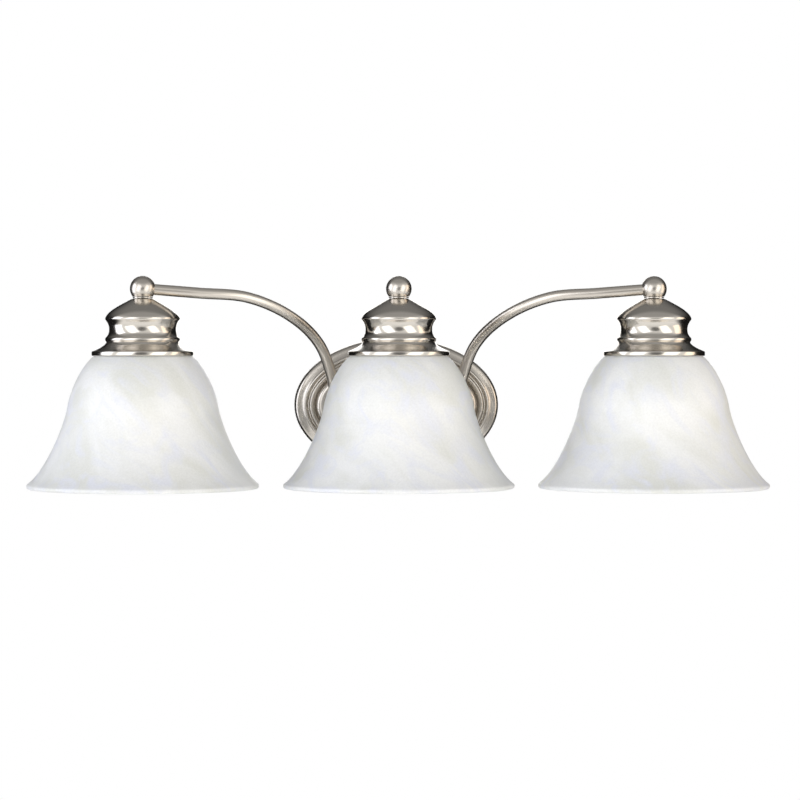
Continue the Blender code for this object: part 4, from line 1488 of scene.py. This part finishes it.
# ---------------------------------------------------------------- what is behind the canopy
@dataclass
class WallHardware:
    """The crossbar, its studs and screws, and the ball cap nuts that hold the canopy.

    Attributes:
        fine_pitch: Pitch of the small screws' threads.
        slot_width: Width of the slots in the screw heads.
    """

    fine_pitch: float = 0.8 * MM
    slot_width: float = 1.0 * MM

    def build(self) -> list[bpy.types.Object]:
        """Makes all of the wall's hardware.

        Returns:
            The pieces.
        """
        made = [self.crossbar()]
        for side in ("left", "right"):
            made += [self.stud(side), self.cap_nut(side), self.screw(f"box_screw_{side}", ZINC_STEEL)]
        made.append(self.screw("ground_screw", DYED_STEEL))
        return made

    def crossbar(self) -> bpy.types.Object:
        """The stamped bar, with its edges softened."""
        node = "mounting_crossbar"
        return piece("wall_crossbar", softened(node, 0.25 * MM), ZINC_STEEL, node)

    def rod(self, radius: float, end: float) -> Outline:
        """A rod's outline with enough points for its thread, and a chamfered tip.

        Args:
            radius: The rod's radius.
            end: Its length.

        Returns:
            Radius and height points.
        """
        steps = int(end / self.fine_pitch * 6)
        return [(0.0, 0.0), *straight((radius, 0.0), (radius, end - 0.4 * MM), steps), (radius - 0.4 * MM, end)]

    def stud(self, side: str) -> bpy.types.Object:
        """A threaded stud that stands out from the crossbar."""
        node = f"crossbar_stud_{side}"
        low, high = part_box(node)
        radius, end, at = (high.x - low.x) / 2, high.y - low.y, on_wall(node)
        thread = Thread(radius, self.fine_pitch, 0.3 * MM, 2.2 * MM, end - 0.3 * MM)
        mesh = lathe(self.rod(radius, end) + [(0.0, end)], at, ZINC_STEEL, 24, thread, forward=True)
        return piece(f"canopy_stud_{side}", mesh, ZINC_STEEL, node)

    def cap_nut(self, side: str) -> bpy.types.Object:
        """A ball cap nut with a flared seat."""
        node = f"cap_nut_{side}"
        low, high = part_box(node)
        wide, at = (high.x - low.x) / 2, on_wall(node)
        start, end = -high.y, -low.y
        ball = (0.0, end - wide)
        bore = 2.45 * MM
        outline = [(bore, ball[1] + 0.4 * MM), (bore, start), (wide - 0.4 * MM, start)]
        outline += arc((wide - 0.5 * MM, start + 0.5 * MM), 0.5 * MM, -80, 60, 5)
        outline += curve(outline[-1], (-1.2 * MM, 0.5 * MM), (-0.3 * MM, -0.5 * MM),
                         (wide * 0.70, start + 2.0 * MM), 5)
        outline += arc(ball, wide, -42, 90, 22)
        outline += [(0.0, ball[1] + 0.4 * MM)]
        mesh = lathe(outline, at, SPUN_NICKEL, 48, forward=True)
        return piece(f"ball_cap_nut_{side}", mesh, SPUN_NICKEL, node)

    def screw(self, node: str, finish: Finish) -> bpy.types.Object:
        """A round-headed screw with a slot and a thread.

        Args:
            node: The CAD node that it stands for.
            finish: Its finish.

        Returns:
            The piece.
        """
        low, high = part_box(node)
        head, at, top = (high.x - low.x) / 2, on_wall(node), -low.y
        shank, seat = 2.1 * MM, 2.3 * MM
        outline = [(0.0, 0.0), *straight((shank, 0.0), (shank, seat), 16)]
        outline += [(head - 0.3 * MM, seat), (head, seat + 0.3 * MM), (head, seat + 0.9 * MM)]
        outline += curve(outline[-1], (0.0, 0.9 * MM), (1.6 * MM, 0.0), (head * 0.45, top), 7)
        outline += [(0.0, top)]
        thread = Thread(shank, self.fine_pitch, 0.3 * MM, 0.1 * MM, 1.9 * MM)
        body = lathe(outline, at, finish, 36, thread, forward=True)
        half, deep = self.slot_width / 2, top - 0.9 * MM
        corners = [(-head * 1.3, -half), (head * 1.3, -half), (head * 1.3, half), (-head * 1.3, half)]
        slot = skin([[at + Vector((x, -y, z)) for x, z in corners] for y in (deep, top + 1 * MM)], looped=False)
        return piece(f"slotted_{node}", cut_away(body, [slot]), finish, node)


@dataclass
class Wiring:
    """The leads from the arms, their twist-on connectors and the bare ground lead.

    Attributes:
        lead_radius: Radius of an insulated lead.
        ground_radius: Radius of the bare lead.
        tail: How far from the wall the arms' tubes end.
        wrap: Angles in degrees at which the ground lead passes round its screw.
    """

    lead_radius: float = 1.2 * MM
    ground_radius: float = 0.8 * MM
    tail: float = 12.0 * MM
    wrap: tuple[int, ...] = (-100, -65, -30, 5)

    def build(self) -> list[bpy.types.Object]:
        """Makes the leads and connectors.

        Returns:
            The pieces.
        """
        made = []
        pair = (("left", -1, "black", BLACK_PVC), ("right", 1, "white", WHITE_PVC))
        for side, sign, colour, finish in pair:
            made.append(self.lead(side, sign, colour, finish))
            made.append(self.connector(sign, colour))
        made.append(self.ground())
        return made

    def lead(self, side: str, sign: int, colour: str, finish: Finish) -> bpy.types.Object:
        """One insulated lead, from inside its arm into its connector.

        Args:
            side: Which arm.
            sign: -1 for the left, 1 for the right.
            colour: Its colour.
            finish: Its finish.

        Returns:
            The piece.
        """
        root, tail = on_wall(f"arm_collar_{side}"), self.tail
        low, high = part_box(f"wire_nut_{colour}")
        mouth, level, drop = max(abs(low.x), abs(high.x)), (low.y + high.y) / 2, (low.z + high.z) / 2
        points = [
            root + Vector((0, -tail - 6 * MM, 0)),
            root + Vector((0, -tail, 0)),
            root + Vector((0, -tail * 0.70, -4 * MM)),
            root + Vector((-sign * 3 * MM, -tail * 0.72, -12 * MM)),
            Vector((sign * (mouth + 14 * MM), level, drop + 8 * MM)),
            Vector((sign * (mouth + 6 * MM), level, drop)),
            Vector((sign * (mouth - 6 * MM), level, drop)),
        ]
        mesh = sweep(smooth_route(points, 8), self.lead_radius, finish, 16)
        return piece(f"supply_lead_{colour}", mesh, finish, f"lead_{colour}")

    def connector(self, sign: int, colour: str) -> bpy.types.Object:
        """A tapered, ribbed twist-on connector.

        Args:
            sign: -1 for the left, 1 for the right.
            colour: The colour of the lead that it takes.

        Returns:
            The piece.
        """
        node = f"wire_nut_{colour}"
        low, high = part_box(node)
        length, wide, at = high.x - low.x, (high.z - low.z) / 2, middle(node)
        bore = 3.5 * MM
        outline = [(bore, length * 0.35), (bore, length), (wide - 0.3 * MM, length), (wide, length - 0.4 * MM)]
        outline += [(wide, length * 0.80), (wide * 0.86, length * 0.74), (wide * 0.62, 0.8 * MM)]
        outline += [(wide * 0.50, 0.0), (0.0, 0.0), (0.0, length * 0.35)]
        body = lathe(outline, Vector((0, 0, 0)), MOULDED_NYLON, 40)
        section = ((-0.5, -0.35), (0.4, -0.2), (0.4, 0.2), (-0.5, 0.35))
        rib = skin([
            [Vector((x * MM + lean, y * MM, z)) for x, y in section]
            for z, lean in ((1.6 * MM, wide * 0.64), (length * 0.72, wide * 0.85))
        ], looped=False)
        ribs = run_tree(placed("rib", rib), "Ribs", {
            "Count": 14, "Ring Radius": 1e-5, "Material": MOULDED_NYLON.material(),
        })
        mesh = joined([body, face_out(ribs)])
        lay = Matrix.Rotation(math.radians(90 * sign), 4, "Y")
        mesh.transform(Matrix.Translation(Vector((at.x - sign * length / 2, at.y, at.z))) @ lay)
        return piece(f"twist_connector_{colour}", mesh, MOULDED_NYLON, node)

    def ground(self) -> bpy.types.Object:
        """The bare lead from the middle arm, bent round its screw."""
        root, tail = on_wall("arm_collar_center"), self.tail
        low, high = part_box("ground_screw")
        head, at = (high.x - low.x) / 2, middle("ground_screw")
        depth = 2.3 * MM + (-low.y - 2.3 * MM) * 0.5
        edge = (head + self.ground_radius) * 1.08 + GAP
        points = [
            root + Vector((0, -tail - 6 * MM, 0)),
            root + Vector((0, -tail, 0)),
            root + Vector((3 * MM, -tail * 0.72, -5 * MM)),
            Vector((at.x * 0.55, -tail * 0.60, -head * 2.2)),
        ]
        for degrees in self.wrap:
            turn = math.radians(degrees)
            points.append(Vector((at.x + edge * math.cos(turn), -depth, edge * math.sin(turn))))
        mesh = sweep(smooth_route(points, 8), self.ground_radius, DRAWN_COPPER, 12)
        return piece("bare_ground_lead", mesh, DRAWN_COPPER, "ground_lead")


# ---------------------------------------------------------------- studio
@dataclass(frozen=True)
class Softbox:
    """One upright rectangular light on a circle round the fixture, aimed at it.

    Attributes:
        name: The light's name.
        around: Its direction in degrees, 0 in front of the fixture and positive to the right.
        height: How far it stands above the fixture's middle.
        width: Its width.
        tall: Its height from edge to edge.
        brightness: How bright its face is.
        colour: Its colour, sRGB hex.
        lean: How far it is tilted in its own plane, in degrees.
        distance: How far away it stands.
    """

    name: str
    around: float
    height: float
    width: float
    tall: float
    brightness: float
    colour: str = "FFFFFF"
    lean: float = 0.0
    distance: float = 2.6

    def build(self, aim: Vector) -> None:
        """Puts the light in the scene.

        Args:
            aim: The point that it faces.
        """
        turn = math.radians(self.around)
        at = aim + Vector((math.sin(turn), -math.cos(turn), 0)) * self.distance + Vector((0, 0, self.height))
        data = bpy.data.lights.new(self.name, "AREA")
        data.shape, data.size, data.size_y = "RECTANGLE", self.width, self.tall
        data.energy = self.brightness * math.pi * self.width * self.tall
        data.color = srgb(self.colour)[:3]
        lamp = placed(self.name, data)
        lamp.location = at
        facing = (aim - at).to_track_quat("-Z", "Y") @ Quaternion((0, 0, 1), math.radians(self.lean))
        lamp.rotation_euler = facing.to_euler()
        lamp.visible_camera = False


@dataclass
class Studio:
    """Camera, lights, surroundings and floor.

    Attributes:
        eye: Where the camera stands.
        aim: The point at the middle of its view.
        lens_mm: Focal length on a 36 mm wide sensor.
        floor_height: Height of the floor.
        boxes: The softboxes.
    """

    eye: tuple[float, float, float] = (-0.046, -2.46, 0.0438)
    aim: tuple[float, float, float] = (0.001, -0.12, 0.0062)
    lens_mm: float = 123.4
    floor_height: float = -1.8
    boxes: tuple[Softbox, ...] = (
        Softbox("side_box_left", -86, 0.2, 1.4, 2.6, 2.2, "EEF2FF", lean=-14),
        Softbox("front_box_left", -38, 0.2, 1.6, 2.8, 1.40, "F6F8FF", lean=-24),
        Softbox("front_box_right", 38, 0.2, 1.5, 2.8, 1.35, "FFFCF6", lean=-24),
        Softbox("side_box_right", 84, 0.1, 1.2, 2.4, 1.3, "FFE4C4", lean=-14),
        Softbox("back_box", 180, 0.3, 1.3, 1.8, 2.0, "FFFFFF"),
    )

    def build(self) -> None:
        """Sets up the camera, lights, surroundings and floor."""
        self.camera()
        self.surroundings()
        self.floor()
        for box in self.boxes:
            box.build(Vector(self.aim))

    def camera(self) -> None:
        """Sets up the camera."""
        data = bpy.data.cameras.new("camera")
        data.lens, data.sensor_width = self.lens_mm, 36.0
        camera = placed("camera", data)
        camera.location = self.eye
        camera.rotation_euler = (Vector(self.aim) - Vector(self.eye)).to_track_quat("-Z", "Y").to_euler()
        bpy.context.scene.camera = camera
        bpy.context.scene.view_settings.view_transform = "Standard"

    def surroundings(self) -> None:
        """A white backdrop in view, and round it a room that is dark behind the fixture."""
        world = bpy.data.worlds.new("studio")
        world.use_nodes = True
        bpy.context.scene.world = world
        tree = world.node_tree
        tree.nodes.clear()
        place = add(tree, "ShaderNodeTexCoord").outputs["Generated"]
        way = add(tree, "ShaderNodeSeparateXYZ", {0: place}).outputs
        kind, smooth = "ShaderNodeMapRange", {"interpolation_type": "SMOOTHSTEP"}
        ahead = add(tree, kind, {0: way[1], 1: -0.99, 2: -0.93, 3: 0.20, 4: 0.98}, **smooth).outputs[0]
        below = add(tree, kind, {0: way[2], 1: -0.25, 2: -0.75, 3: ahead, 4: 1.25}, **smooth).outputs[0]
        level = add(tree, kind, {0: way[2], 1: 0.35, 2: 0.85, 3: below, 4: 0.45}, **smooth).outputs[0]
        behind = add(tree, kind, {0: way[2], 1: 0.25, 2: 0.90, 3: 0.01, 4: 0.26}, **smooth).outputs[0]
        rays = add(tree, "ShaderNodeLightPath").outputs
        diffuse = rays["Is Diffuse Ray"]
        wash = add(tree, "ShaderNodeMath", {0: diffuse, 1: 0.45}, operation="MULTIPLY").outputs[0]
        back = add(tree, "ShaderNodeMath", {0: behind, 1: wash}, operation="MAXIMUM").outputs[0]
        total = add(tree, kind, {0: way[1], 1: -0.10, 2: 0.30, 3: level, 4: back}, **smooth).outputs[0]
        seen = add(tree, "ShaderNodeBackground", {"Color": WHITE, "Strength": 1.0}).outputs[0]
        around = add(tree, "ShaderNodeBackground", {"Color": WHITE, "Strength": total}).outputs[0]
        by_ray = add(tree, "ShaderNodeMixShader", {0: rays["Is Camera Ray"], 1: around, 2: seen}).outputs[0]
        add(tree, "ShaderNodeOutputWorld", {"Surface": by_ray})

    def floor(self) -> None:
        """A plain pale floor, well below the fixture."""
        half, back, z = 4.0, 2.4, self.floor_height
        mesh = bpy.data.meshes.new("floor")
        corners = [(-half, -half, z), (half, -half, z), (half, back, z), (-half, back, z)]
        mesh.from_pydata(corners, [], [(0, 1, 2, 3)])
        mesh.materials.append(PALE_FLOOR.material())
        ground = placed("floor", mesh)
        ground.visible_glossy = False


def main() -> None:
    """Builds the studio and then each sub-assembly in order."""
    logging.basicConfig(level=logging.INFO, format="%(name)s: %(message)s")
    Studio().build()
    made = [Canopy().build(), *WallHardware().build(), *Wiring().build()]
    for side in SIDES:
        finial = Finial(side)
        arm = Arm(side, bends=CENTER_BENDS if side == "center" else SIDE_BENDS)
        centre, radius = finial.centre(), finial.radius()
        route = arm.route(centre, radius)
        made += arm.build(centre, radius)
        made += finial.build((route[-1] - centre).normalized(), arm.radius + GAP)
        made.append(Holder(side).build())
        made += Lampholder(side).build()
        shade, bulb = Shade(side).build(), Bulb(side)
        made += [shade, *bulb.build()]
        bulb.light(shade)


if __name__ == "__main__":
    main()
